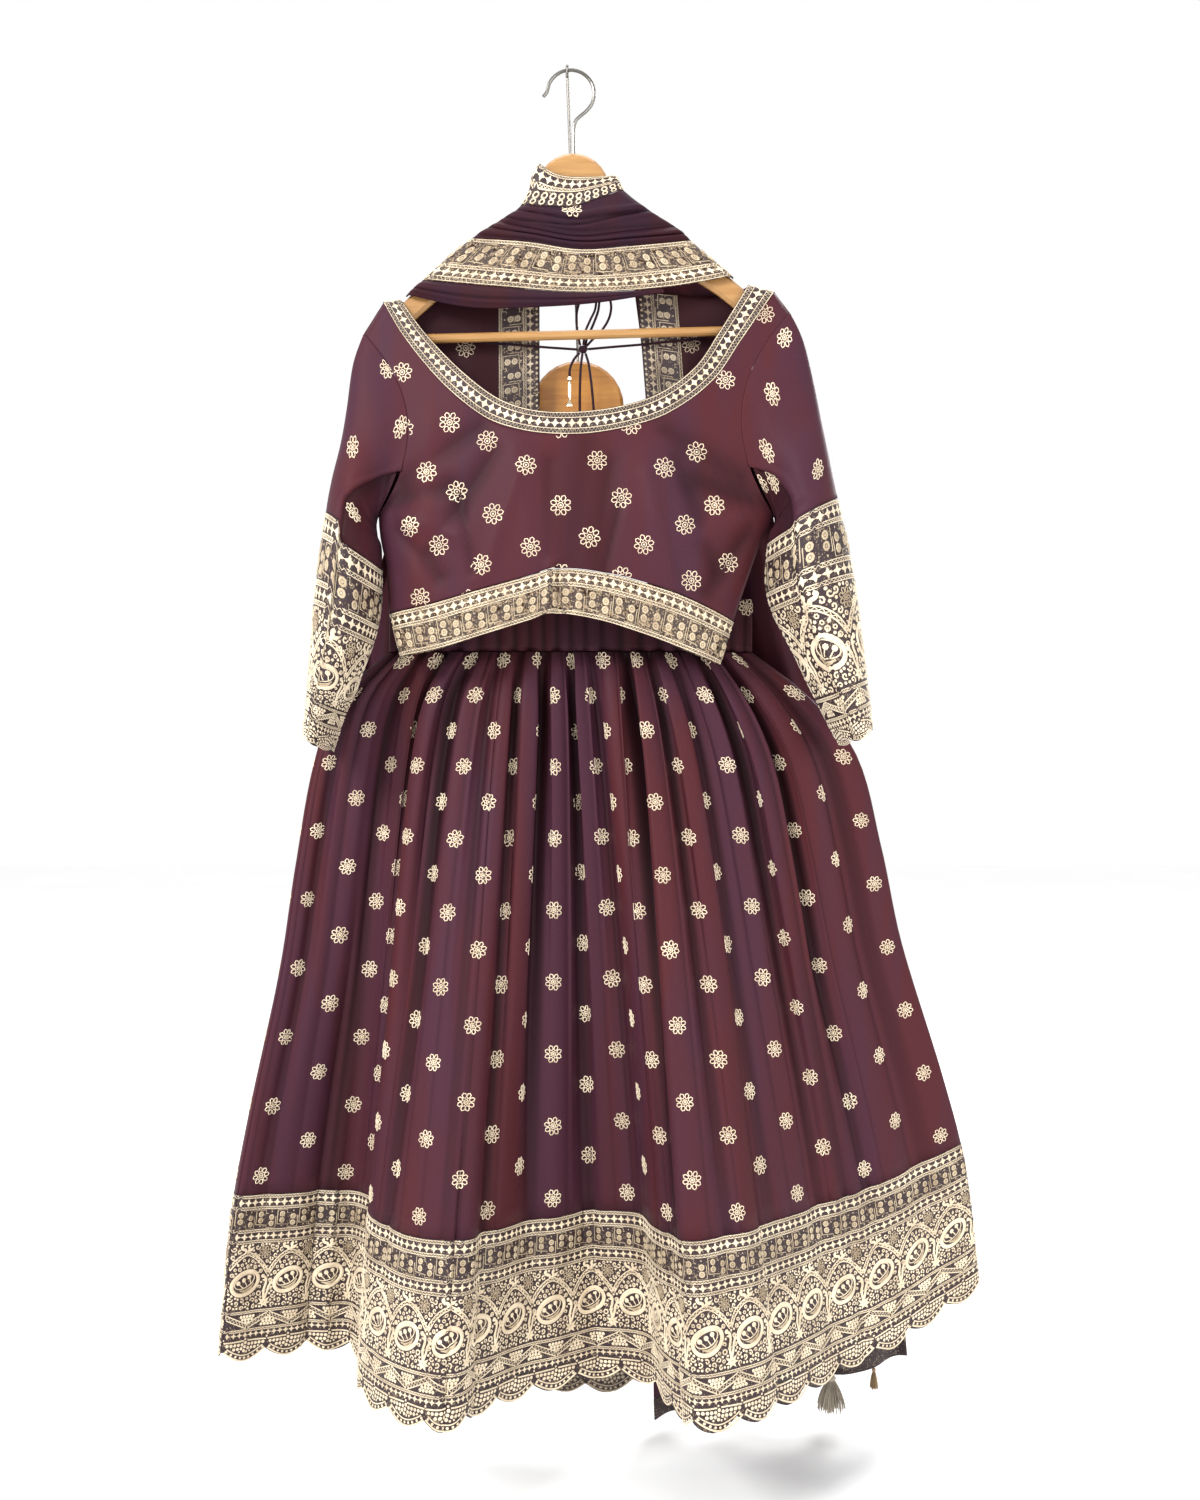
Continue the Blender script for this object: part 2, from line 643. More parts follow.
def zigzag_row(drawn, length, y, height, count):
    """A zigzag of plaited bars with clusters of dots in its triangles."""
    period = length / count
    inset = 2.6
    one = Flat()
    turns = np.array([(0.0, inset), (period / 2, height - inset), (period, inset)])
    for start, end in zip(turns, turns[1:]):
        one.rope(lerp(start, end, np.linspace(0, 1, 12)[:, None]), 6.0, 2.2)
    for middle, foot, up in ((period / 2, inset, -1), (period, height - inset, 1)):
        for row, places in enumerate(((-8, -4, 0, 4, 8), (-6, -2, 2, 6), (-2, 2))):
            one.dot(middle + np.array(places), foot - up * (0.6 + 3.3 * row), 1.95, 1.3)
    drawn.stamp(one, np.arange(count) * period, y)


def scallop_row(drawn, length, y, height, scallops, notch):
    """Scallops: lobes full of pebbles between white arcs that meet in a point, and a dotted edge."""
    period = length / scallops
    one = Flat()

    def edge(x):
        return height - notch * (1 - np.abs(np.sin(PI * x / period)))

    x = np.linspace(0.02, 0.98, 13) * period
    one.thread(np.stack([x, edge(x) - 0.9], -1), 1.9, 1.2)
    x = (np.arange(9) + 0.7) / 9.4 * period
    one.dot(x, edge(x) - 4.0, 1.6, 1.3)
    x = np.linspace(0.08, 0.92, 12) * period
    one.thread(np.stack([x, edge(x) - 7.0], -1), 1.4, 1.1)
    sweep = np.linspace(0, 1, 8)
    for way in (0, 1):
        arc_x = 0.8 + 0.44 * period * sweep ** 1.2
        arc_y = height - 10.5 - notch - (height - 13.5 - notch) * (sweep ** 0.75)
        one.thread(np.stack([period - arc_x if way else arc_x, arc_y], -1), 1.7, 1.5)

    def inside(px, py):
        return py < edge(px) - 9.0

    one.fill(period, 0.0, height, 1.8, 0.75, Flat().dot(0, 0, 2.0, 1.3), inside)
    one.fill(period, 0.0, height, 1.2, 0.7, Flat().dot(0, 0, 1.3, 1.1), inside)
    drawn.stamp(one, np.arange(scallops) * period, y)


# ---------------------------------------------------------------- materials
def material(name, roughness, **settings):
    """A new material with its node tree and shader."""
    made = bpy.data.materials.new(name)
    made.use_nodes = True
    shader = made.node_tree.nodes["Principled BSDF"]
    shader.inputs["Roughness"].default_value = roughness
    for key, value in settings.items():
        shader.inputs[key.replace("_", " ")].default_value = value
    return made, made.node_tree, shader


def node(tree, kind, links=(), **settings):
    """A new node; settings name its inputs or its own properties."""
    made = tree.nodes.new(kind)
    for key, value in settings.items():
        if key in made.inputs:
            made.inputs[key].default_value = value
        else:
            setattr(made, key, value)
    for socket, source in links:
        tree.links.new(source, made.inputs[socket])
    return made


def object_place(tree):
    """Coordinates in metres, fixed to the object."""
    return node(tree, "ShaderNodeTexCoord").outputs["Object"]


def noise_of(tree, coordinates, scale, stretch=(1, 1, 1), detail=2.0):
    """A noise between 0 and 1 over coordinates stretched along the axes."""
    mapped = node(tree, "ShaderNodeMapping", [("Vector", coordinates)], Scale=stretch)
    found = node(tree, "ShaderNodeTexNoise", [("Vector", mapped.outputs[0])], Scale=scale, Detail=detail)
    return found.outputs[0]


def ramp_of(tree, factor, stops):
    """Colours along a factor, given as (place, colour)."""
    made = node(tree, "ShaderNodeValToRGB", [("Fac", factor)])
    ramp = made.color_ramp
    for k, (place, colour) in enumerate(stops):
        stop = ramp.elements[k] if k < 2 else ramp.elements.new(place)
        stop.position, stop.color = place, (*colour, 1)
    return made.outputs[0]


def mix_of(tree, factor, first, second, blend="MIX"):
    """Two colours mixed; each input is a colour, a number or another node's output."""
    made = node(tree, "ShaderNodeMix", data_type="RGBA", blend_type=blend)
    for socket, source in ((0, factor), (6, first), (7, second)):
        if isinstance(source, bpy.types.NodeSocket):
            tree.links.new(source, made.inputs[socket])
        elif socket == 0:
            made.inputs[socket].default_value = source
        else:
            made.inputs[socket].default_value = (*source, 1)
    return made.outputs[2]


def bump_of(tree, shader, height, strength, distance):
    made = node(tree, "ShaderNodeBump", [("Height", height)], Strength=strength, Distance=distance)
    tree.links.new(made.outputs[0], shader.inputs["Normal"])


def silk(name, red, purple, dark, streak=(19, 19, 1.6)):
    """Shot silk: reddish and purple threads that take turns along the folds, darker deep in them."""
    made, tree, shader = material(name, 0.55, Sheen_Weight=0.03, Sheen_Roughness=0.45)
    shader.inputs["Sheen Tint"].default_value = (0.62, 0.42, 0.52, 1)
    shader.inputs["Specular IOR Level"].default_value = 0.1
    place = object_place(tree)
    shot = ramp_of(tree, noise_of(tree, place, 1.0, streak, 3.0), [(0.38, red), (0.62, purple)])
    fold = node(tree, "ShaderNodeAttribute", attribute_name="fold").outputs["Fac"]
    deep = mix_of(tree, fold, shot, dark)
    cloth = node(tree, "ShaderNodeUVMap", uv_map="cloth").outputs[0]
    slub = noise_of(tree, cloth, 260.0, (1, 14, 1), 2.0)
    tone = ramp_of(tree, slub, [(0.3, (0.84, 0.84, 0.84)), (0.7, (1.12, 1.12, 1.12))])
    tree.links.new(mix_of(tree, 1.0, deep, tone, "MULTIPLY"), shader.inputs["Base Color"])
    bump_of(tree, shader, slub, 0.16, 0.0006)
    return made


def thread(name, light, shade, roughness=0.62, glint=0.0):
    """Embroidery thread with uneven colour and fine stitches."""
    made, tree, shader = material(name, roughness, Sheen_Weight=0.25, Metallic=glint)
    place = object_place(tree)
    tone = noise_of(tree, place, 42.0, (1, 1, 1), 3.0)
    tree.links.new(ramp_of(tree, tone, [(0.36, shade), (0.62, light)]), shader.inputs["Base Color"])
    stitches = noise_of(tree, place, 900.0, (1, 1, 1), 1.0)
    bump_of(tree, shader, stitches, 0.5, 0.0006)
    return made


def lace_ground(name, cloth_colour, thread_colour, amount, sequins=0.0):
    """The ground of a border: dark silk under dense small stitches, with sequins where they show."""
    made, tree, shader = material(name, 0.6, Sheen_Weight=0.03)
    cloth = node(tree, "ShaderNodeUVMap", uv_map="cloth").outputs[0]
    cells = node(tree, "ShaderNodeTexVoronoi", [("Vector", cloth)], Scale=420.0).outputs["Distance"]
    patches = noise_of(tree, cloth, 90.0, (1, 1, 1), 2.0)
    stitches = node(tree, "ShaderNodeMath", [(0, patches), (1, cells)], operation="SUBTRACT").outputs[0]
    mask = ramp_of(tree, stitches, [(0.18 - amount, (0, 0, 0)), (0.3 - amount, (1, 1, 1))])
    tree.links.new(mix_of(tree, mask, cloth_colour, thread_colour), shader.inputs["Base Color"])
    bump_of(tree, shader, mask, 0.6, 0.0008)
    if sequins:
        spots = node(tree, "ShaderNodeTexVoronoi", [("Vector", cloth)], Scale=300.0).outputs["Color"]
        shine = ramp_of(tree, spots, [(1 - sequins, (0, 0, 0)), (1 - sequins * 0.9, (1, 1, 1))])
        tree.links.new(shine, shader.inputs["Metallic"])
        polish = ramp_of(tree, spots, [(1 - sequins, (0.55,) * 3), (1, (0.18,) * 3)])
        tree.links.new(polish, shader.inputs["Roughness"])
    return made


def wood(name, light, dark, gloss):
    """Lacquered wood with its grain along the hanger."""
    made, tree, shader = material(name, 0.42, Coat_Weight=gloss, Coat_Roughness=0.18)
    place = object_place(tree)
    grain = noise_of(tree, place, 9.0, (2.2, 14, 22), 5.0)
    tree.links.new(ramp_of(tree, grain, [(0.3, dark), (0.72, light)]), shader.inputs["Base Color"])
    bump_of(tree, shader, grain, 0.08, 0.0005)
    return made


def metal(name, colour, roughness):
    """Metal with duller, worn patches."""
    made, tree, shader = material(name, roughness, Metallic=1.0)
    place = object_place(tree)
    wear = noise_of(tree, place, 30.0, (1, 1, 0.2), 2.0)
    dull = tuple(0.8 * value for value in colour)
    tree.links.new(ramp_of(tree, wear, [(0.3, dull), (0.7, colour)]), shader.inputs["Base Color"])
    return made


SILK = silk("silk", (0.066, 0.0145, 0.0185), (0.054, 0.0165, 0.029), (0.011, 0.0022, 0.0035))
SILK_SCARF = silk("silk_of_scarf", (0.036, 0.0085, 0.012), (0.024, 0.0085, 0.018), (0.006, 0.0015, 0.0025))
CORD_SILK = silk("cord_silk", (0.03, 0.01, 0.014), (0.02, 0.008, 0.015), (0.007, 0.003, 0.005), (60, 60, 60))
CREAM = thread("cream_thread", (0.8, 0.67, 0.48), (0.6, 0.48, 0.33))
CREAM_GOLD = thread("golden_thread", (0.56, 0.45, 0.3), (0.38, 0.28, 0.17), 0.45, 0.1)
CREAM_INSIDE = thread("cream_thread_inside", (0.46, 0.37, 0.26), (0.3, 0.23, 0.15))
TASSEL_THREAD = thread("tassel_thread", (0.5, 0.43, 0.34), (0.3, 0.25, 0.19))
TASSEL_GOLD = thread("tassel_gold", (0.4, 0.27, 0.13), (0.27, 0.17, 0.08))
GROUND = lace_ground("lace_ground", (0.02, 0.006, 0.008), (0.22, 0.16, 0.105), 0.0)
GOLD_GROUND = lace_ground("gold_ground", (0.045, 0.026, 0.018), (0.27, 0.19, 0.115), 0.16, 0.22)
PALE_WOOD = wood("pale_wood", (0.43, 0.23, 0.075), (0.33, 0.16, 0.045), 0.25)
BROWN_WOOD = wood("brown_wood", (0.52, 0.225, 0.028), (0.38, 0.14, 0.014), 0.5)
STEEL = metal("steel", (0.17, 0.16, 0.145), 0.3)
GILT = metal("gilt", (0.78, 0.66, 0.48), 0.3)


# ---------------------------------------------------------------- tables of the forms
BOARD_HEAD = (-130, 39.5)  # middle and radius of the first hanger's head
# Top of the first hanger's arm: across and height.
BOARD_ARM = [
    (40, -141), (60, -153), (84, -167), (114, -186), (148, -213), (180, -241), (198, -257.5), (206, -270),
]
HANGER_TILT = math.radians(-1.5)

# Blouse body: height, half width, middle, and how far front and back stand out.
BODY = [
    (-235, 243, 8, 15, 15),
    (-290, 238, 8, 21, 17),
    (-340, 228, 8, 32, 20),
    (-400, 222, 7, 42, 23),
    (-490, 216.6, 6.7, 52, 25),
    (-514, 209.5, 1.7, 52.5, 25),
    (-551, 199, -1.5, 52, 25),
    (-600, 189, -8, 48, 24),
    (-655, 173, -9.5, 44, 23),
]
# Neckline band: inner edge and outer edge, each across and height.
NECKLINE = [
    (-186, -252, -204.5, -254.5),
    (-158, -291, -180.5, -295),
    (-114, -338, -131.5, -354.5),
    (-75, -368, -86, -390),
    (-40, -380.5, -46, -403.5),
    (3, -383, 3, -407),
    (54.5, -376.5, 60, -399.5),
    (97, -361.5, 108, -382),
    (136, -331, 156, -344.5),
    (163, -290, 186, -300),
    (196, -235.5, 224, -243),
]
# Lace band at the blouse's hem: across and height of its top, then of its bottom.
BLOUSE_HEM = [
    (-196.5, -596.5, -184, -643),
    (-151, -588.5, -141, -636),
    (-96, -574, -90, -621.5),
    (-42, -560, -42, -607),
    (-16, -552.5, -18, -600),
    (33, -556, 30, -606.5),
    (87, -569, 82, -622),
    (131, -583.5, 125, -637.5),
    (179, -605, 163.5, -652),
]
BACK_RISE = 9  # how much higher the back hem is in its middle
INSIDE_SHADE = 0.72  # how dark the back's silk is inside, where little light comes
# Armholes: top, bottom and bow of each.
ARMHOLES = {
    "left": ((-226.3, -289), (-210, -489.7), 43),
    "right": ((241.5, -266), (223.3, -489.7), -46),
}

# Sleeves below the armhole, row by row: outer end, inner end, bow, depth to the front and to the back.
SLEEVE_LEFT = [
    ((-238, -322), (-213.5, -491), 30, 26, 20),
    ((-245, -372), (-214.5, -494), 17, 34, 26),
    ((-252, -416), (-214.5, -499), 7, 44, 33),
    ((-260, -453), (-213, -510), 2, 53, 40),
    ((-266, -485), (-208, -530), 0, 61, 45),
    ((-277, -572), (-211, -604), 0, 64, 40),
    ((-282, -645), (-232, -668), 0, 67, 24),
    ((-285, -690), (-249, -710), 0, 70, 14),
    ((-287, -728), (-261, -748), 0, 71, 8),
]
SLEEVE_RIGHT = [
    ((256, -296), (227, -491), -32, 26, 20),
    ((268, -345), (227, -493.5), -18, 34, 26),
    ((277, -392), (226, -497), -7, 44, 33),
    ((285, -435), (223, -503), -2, 53, 40),
    ((293, -471), (219, -513), 0, 61, 45),
    ((308, -545), (218, -577), 0, 63, 44),
    ((318, -620), (247, -640), 0, 64, 36),
    ((325, -680), (276, -700), 0, 66, 26),
    ((328, -722), (298, -742), 0, 67, 18),
]
SLEEVES = {"left": SLEEVE_LEFT, "right": SLEEVE_RIGHT}
BORDER_RING = 5  # the row at which a sleeve's border starts

# Hem of the skirt from the left side seam over the front to the right and back: across, depth and
# height.
HEM = [
    (-383, -5, -1419), (-346, 32, -1427), (-298, 62, -1433), (-261, 78, -1436), (-242, 50, -1434),
    (-228, -22, -1444), (-185, -80, -1447), (-129, -120, -1445), (-98, -80, -1447), (-66, -33, -1449),
    (-14, 8, -1452), (37, 30, -1450), (84, 6, -1446), (110, -60, -1446), (133, -122, -1442),
    (171, -114, -1441), (227, -70, -1440), (286, -5, -1436), (350, 36, -1425), (415, 68, -1400),
    (474, 96, -1372), (440, 126, -1392), (350, 128, -1424), (240, 108, -1448), (130, 92, -1470),
    (30, 78, -1487), (-80, 90, -1475), (-190, 118, -1450), (-300, 112, -1432), (-388, 48, -1421),
]
HEM_SEAM_ROW = 20
WAIST = [
    (-206, 57, 0), (-150, 42, 0), (5, 38, 0), (160, 42, 0), (205, 57, 0), (160, 73, 0), (5, 78, 0),
    (-150, 73, 0),
]
WAIST_SEAM_ROW = 4
# How the left and right side swell from waist to hem: share of the way down, then of the spread.
FLARE = [
    (0, 0, 0), (0.06, 0.3, 0.22), (0.15, 0.45, 0.44), (0.3, 0.56, 0.56), (0.45, 0.65, 0.65),
    (0.66, 0.83, 0.83), (0.8, 0.93, 0.93), (1, 1, 1),
]
WAIST_TOP, WAIST_SEAM, WAIST_SAG, SKIRT_LENGTH = -575, -635, 17, 823
WAIST_DEPTH, WAIST_GATHERS = 57, 46  # depth of the side seams, and gathers round the waistband
PLEATS, PLEAT_DEPTH, BORDER_TOP, SCALLOP_DEPTH = 15, 11, 0.768, 12
SCALLOPS = {"front": 23, "back": 18}
BORDER_HEIGHT, SCALLOP_WIDTH = 190.0, 53.5  # of the wide border's chart

# Dupatta over the hanger: depth, and the places across and heights of each line.
DUPATTA_LINES = [
    (8.5, (-33, -12, 9, 30, 50), (-118, -119, -119, -119, -119)),
    (10, (-54, -26, 3, 31, 59), (-151, -152, -152, -143, -133)),
    (11, (-80, -40, 10, 62, 118), (-173, -178, -185, -180, -175)),
    (12, (-109, -48, 12, 72, 134), (-189, -191, -199, -195, -190)),
    (13, (-163, -76, 12, 98, 180), (-234, -241, -247, -243, -233)),
    (12, (-180, -110, -40, 30, 103), (-250, -263, -262.5, -257.5, -246)),
]
DUPATTA_FOLD = [
    (-190, -257), (-163, -233), (-142, -214), (-109, -188), (-80, -171), (-54, -149), (-33, -116),
    (50, -117), (59, -132), (92, -158), (118, -174), (134, -189), (180, -232),
]
DUPATTA_LIFT = 1.7
# Ends of the dupatta: left edge, right edge, depth and depth of the folds.
TAIL_RIGHT = [
    ((80, -296), (200, -300), 33, 2),
    ((86, -360), (212, -364), 62, 3),
    ((88, -470), (230, -470), 72, 5),
    ((88, -600), (266, -600), 96, 7),
    ((88, -760), (322, -752), 114, 8),
    ((90, -1000), (346, -982), 132, 9),
    ((93, -1250), (374, -1218), 147, 10),
    ((98, -1527), (402, -1452), 158, 10),
    ((99, -1553), (404, -1478), 159, 10),
]
TAIL_LEFT = [
    ((-192, -306), (-58, -298), 33, 2),
    ((-198, -368), (-62, -362), 62, 3),
    ((-202, -470), (-64, -470), 72, 5),
    ((-240, -600), (-66, -600), 96, 7),
    ((-252, -760), (-66, -764), 112, 8),
    ((-256, -990), (-62, -1010), 126, 9),
    ((-256, -1016), (-61, -1036), 127, 9),
]
TAIL_TOP = {"left": (-168, -40), "right": (58, 176)}
# First rows of both ends, where they leave the hanger: how far below its top, and depth.
BEHIND_ARM = [(0, 0.95), (2, 7), (9, 16)]

# Tie cords of the back: routes, where each ends, and how it lies.
CORD = 1.4
KNOT = (14, 13, -302)
CORD_ROUTES = {
    "tie_left": ([(-150, 10.8, -291), (-112, 11.2, -293.5), (-72, 11.8, -296.2), (-30, 12.4, -299.5),
                  (8.3, 13, -302)], "knot", "taut"),
    "tie_right": ([(19.7, 13, -301.6), (48, 12.5, -299.2), (79, 12, -296.8), (112, 11.6, -293.4),
                   (150, 11.6, -289.5)], "object", "taut"),
    "bow_left": ([(11, 13, -297.4), (8.4, 12, -284), (6.8, 11, -270), (8.4, 10, -257), (13, 9.6, -246),
                  (21, 9.6, -242), (28, 10, -248), (27.6, 11, -258), (22, 12, -270), (16.4, 13.6, -283),
                  (14.6, 14, -296.8)], "knot", "loose"),
    "bow_right": ([(18, 12.6, -298.4), (26, 12, -290), (36, 11, -280), (43, 10.4, -268),
                   (45.4, 10, -256), (43.6, 10.4, -246.5), (38.4, 12.4, -240.6), (33.2, 15, -245.6),
                   (31, 17, -258), (25, 18, -274), (18.6, 17.6, -288), (17, 16, -297)], "knot", "loose"),
    "tie_end_bead": ([(10.4, 12.4, -306), (5, 12, -312), (1, 11.4, -320), (-0.6, 10.8, -327),
                      (-0.6, 10.6, -332.6)], "fitting", "hanging"),
    "tie_end_middle": ([(13.6, 12, -306.8), (12, 12, -319), (11, 12, -336), (10.6, 11.6, -356),
                        (10.6, 10, -376), (10.2, 6, -396), (9.6, 1, -416)], "knot", "hanging"),
    "tie_end_right": ([(17, 12.4, -306.4), (20.4, 12, -318), (23, 12, -336), (25, 11.6, -356),
                       (26.5, 9.4, -376), (28, 5, -396), (29, 0, -414)], "knot", "hanging"),
}

# Flowers: radius on blouse and scarf, on the skirt, and seen from inside; and the steps between them
# down a column and from one column to the next.
FLOWER, SKIRT_FLOWER, INNER_FLOWER = 11.2, 9.8, 10.6
FLOWER_STEP, FLOWER_COLUMN = 80.0, 44.0
# Places of the flowers on the blouse: across and height.
FRONT_FLOWERS = [
    (-182, -335), (-129, -393), (-180, -398), (-88, -414), (-46, -442), (30, -436), (102, -444),
    (137, -425), (-9, -401), (66, -397), (-154, -446), (-121, -468), (-81, -494), (56, -477),
    (-172, -505), (-140, -526), (-9, -485), (-41, -530), (22, -519), (124, -505), (156, -483),
    (80, -527), (-94, -548), (-161, -582), (131, -564), (172, -543), (-9, -558), (56, -561),
    (169, -345), (213, -269), (-106, -585), (97, -585),
]
BACK_FLOWERS = {
    side: [(x, z) for i, x in enumerate(columns) for z in np.arange(top - 40 * (i % 2), -545, -FLOWER_STEP)]
    for side, columns, top in (("left", (-196, -156, -116), -300), ("right", (134, 174, 214), -296))
}
# Places of the flowers on the sleeves' fronts: share of the turn and of the way down.
SLEEVE_FLOWERS = {
    "left": [(0.156, 0.511), (0.144, 0.036), (0.252, 0.078), (0.288, 0.814)],
    "right": [(0.092, 0.101), (0.192, 0.208), (0.288, 0.262), (0.168, 0.76), (0.352, 0.303), (0.38, 0.03)],
}
WAIST_FLOWER = (0.49, 0.149)
NECK_BAND, HEM_BAND, BACK_STRIP, SCARF_EDGE = 24, 46, 46, 26  # heights of the narrow borders' charts


# ---------------------------------------------------------------- tie cords
def tube(name, points, radius, material):
    """A round cord along one open line."""
    data = bpy.data.curves.new(name, "CURVE")
    data.dimensions = "3D"
    spline = data.splines.new("POLY")
    spline.points.add(len(points) - 1)
    for target, point in zip(spline.points, points):
        target.co = (*(np.asarray(point) * MM), 1)
    data.bevel_depth = radius * MM
    data.bevel_resolution = 2
    data.use_fill_caps = True
    data.materials.append(material)
    made = bpy.data.objects.new(name, data)
    bpy.context.collection.objects.link(made)
    return made


def ball(name, centre, radii, material, relief, rings, around):
    """A round form; relief(angle, height) swells it."""
    v, u = np.meshgrid(np.linspace(0, PI, rings), np.arange(around) / around * 2 * PI, indexing="ij")
    swell = 1 + relief(u, v)
    unit = stacked(np.sin(v) * np.cos(u), np.sin(v) * np.sin(u), np.cos(v))
    points = unit * swell[..., None] * np.array(radii) + np.array(centre)
    index = np.arange(rings * around).reshape(rings, around)
    index = np.hstack([index, index[:, :1]])
    quads = np.stack([index[:-1, :-1], index[1:, :-1], index[1:, 1:], index[:-1, 1:]], -1)
    return new_mesh(name, points.reshape(-1, 3), quads.reshape(-1, 4), material)


def make_ties():
    def wound(u, v):
        return 0.13 * np.sin(3 * u + 4.5 * np.cos(v)) * np.sin(v)

    def rolled(u, v):
        return 0.1 * np.sin(2 * u + 4 * v) * np.sin(v)

    knot = ball("knot_of_tie", KNOT, (5.2, 4.1, 4.3), CORD_SILK, wound, 20, 36)
    dress(knot, "tie_knot")
    for name, (route, far_end, lay) in CORD_ROUTES.items():
        points = catmull(route, False, 6)
        made = dress(tube(f"cord_{name}", points, CORD, CORD_SILK), name)
        extra = []
        if name == "tie_end_bead":
            extra = [frame_object("tie_bead")]
        elif far_end == "knot" and lay == "hanging":
            tip = ball(f"tip_{name}", points[-1], (2.3, 2.3, 2.8), CORD_SILK, rolled, 10, 16)
            extra = [dress(tip)]


def frame_object(node_name):
    """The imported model's own object for a node."""
    return next(o for o in bpy.data.objects if o.get("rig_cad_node") == node_name or o.name == node_name)


make_ties()


# ---------------------------------------------------------------- pieces and their embroidery
def laid(name, points, faces, inside, material):
    """A mesh of placed embroidery, with what fell outside left out."""
    faces = faces[inside[faces].all(axis=1)]
    keep, back = np.unique(faces, return_inverse=True)
    return dress(new_mesh(name, points[keep], back.reshape(-1, 3), material))


def charted(name, cloth, drawn, length, depth, material, side=None):
    """A drawing of a length and depth, stretched over a whole cloth."""
    points, faces = drawn.arrays()
    placed, inside = cloth.chart(points, length, depth, side)
    return laid(name, placed, faces, inside, material)


def embroidered(name, cloth, drawings, length, depth):
    """Both drawings of a border on its cloth: cream threads and golden rings."""
    drawn, golden = drawings
    return [charted(f"lace_of_{name}", cloth, drawn, length, depth, CREAM),
            charted(f"rings_of_{name}", cloth, golden, length, depth, CREAM_GOLD)]


def scattered(name, cloth, radius, places):
    """Flowers of a radius about (u, v) places of a cloth."""
    drawn, motif = Flat(), flower(radius)
    rng = np.random.default_rng(5)
    for _ in places:
        drawn.stamp(motif, turn=rng.uniform(-0.2, 0.2), size=rng.uniform(0.96, 1.04))
    points, faces = drawn.arrays()
    each = len(points) // len(places)
    at = np.repeat(np.array(places, float), each, axis=0)
    placed, inside = cloth.place(points, at[:, 0], at[:, 1])
    return laid(name, placed, faces, inside, CREAM)


def in_columns(columns, depth, starts, end):
    """(u, v) places in columns down a cloth; even and odd columns have starts of their own."""
    return [((i + 0.5) / columns, y / depth)
            for i in range(columns) for y in np.arange(starts[i % 2], end, FLOWER_STEP)]


def declare(cloth):
    """States the cut of a cloth from its size along the threads."""
    width, length = max(cloth.along[:, -1]) * MM, float(cloth.column.max()) * MM


# ---------------------------------------------------------------- blouse
body_half, body_middle, body_front, body_back = (through(BODY, 0, k) for k in (1, 2, 3, 4))
SHOULDERS = [[NECKLINE[0][:2], NECKLINE[0][2:], ARMHOLES["left"][0]],
             [NECKLINE[-1][:2], NECKLINE[-1][2:], ARMHOLES["right"][0]]]


def distance_to_part(x, z, start, end):
    """How far points are from a straight part between two places."""
    (ax, az), (bx, bz) = start, end
    share = ((x - ax) * (bx - ax) + (z - az) * (bz - az)) / ((bx - ax) ** 2 + (bz - az) ** 2)
    share = np.clip(share, 0, 1)
    return np.hypot(x - lerp(ax, bx, share), z - lerp(az, bz, share))


def distance_to(x, z, points):
    parts = zip(points, points[1:])
    return np.minimum.reduce([distance_to_part(x, z, start, end) for start, end in parts])


# Creases of the blouse's front: start, end, width and depth, each a soft ridge or hollow.
FRONT_CREASES = [
    ((-200, -478), (-128, -462), 12, -5.5),
    ((-196, -492), (-120, -515), 11, 4.5),
    ((-190, -500), (-140, -560), 9, -4.5),
    ((208, -478), (138, -456), 12, -5.5),
    ((204, -492), (130, -520), 11, 4.5),
    ((196, -505), (150, -575), 10, -4.5),
    ((-118, -470), (-102, -556), 5, -3.4),  # left dart
    ((55, -480), (37, -556), 5, -3.4),  # right dart
    ((-60, -425), (-30, -540), 22, 3.2),
    ((20, -420), (0, -545), 20, -3.2),
    ((90, -430), (96, -560), 22, 3.4),
    ((-150, -395), (-165, -560), 18, 3.2),
    ((-150, -530), (-78, -425), 12, -4.5),
    ((-182, -455), (-95, -398), 13, -4.0),
    ((-92, -560), (-52, -446), 9, 3.4),
    ((-26, -560), (-22, -440), 13, -3.6),
    ((186, -450), (104, -402), 13, -4.0),
    ((158, -548), (114, -432), 11, -4.2),
    ((112, -580), (84, -450), 9, 3.2),
    ((26, -566), (44, -440), 12, -3.4),
    ((-26, -604), (-20, -548), 5, 5.5),  # the step of the hem's fold
    ((-13, -604), (-12, -552), 5, -5.5),
]
BACK_CREASES = [((-190, -300), (-150, -520), 24, 3), ((190, -300), (170, -520), 24, 3),
                ((-110, -320), (-120, -540), 20, -3), ((130, -320), (140, -540), 20, -3)]


def crease_relief(x, z, creases):
    relief = np.zeros(np.broadcast(x, z).shape)
    for start, end, width, depth in creases:
        relief += depth * np.exp(-(distance_to_part(x, z, start, end) / width) ** 1.6)
    return relief


def body_depth(x, z, face, creased=True):
    """Depth of the blouse's front (face -1) or back (face 1) at a place."""
    share = np.clip((x - body_middle(z)) / body_half(z), -1, 1)
    round_off = np.sqrt(1 - share * share)
    reach = (body_front(z) if face < 0 else body_back(z)) * round_off
    from_shoulder = np.minimum(*(distance_to(x, z, line) for line in SHOULDERS))
    opened = rounded_off(from_shoulder, 12)
    if creased:
        away = smoothstep(2, 26, from_shoulder) * smoothstep(0.1, 0.45, round_off)
        reach = reach + crease_relief(x, z, FRONT_CREASES if face < 0 else BACK_CREASES) * away
    return face * (lerp(0.95, 0.4, opened) + reach * opened)


def armhole(hole, share):
    """A place on an armhole's edge, from the shoulder down."""
    (tx, tz), (lx, lz), bow = hole
    return lerp(tx, lx, share) + bow * 4 * share * (1 - share), lerp(tz, lz, share)


def left_side(z):
    return body_middle(z) - body_half(z)


def right_side(z):
    return body_middle(z) + body_half(z)


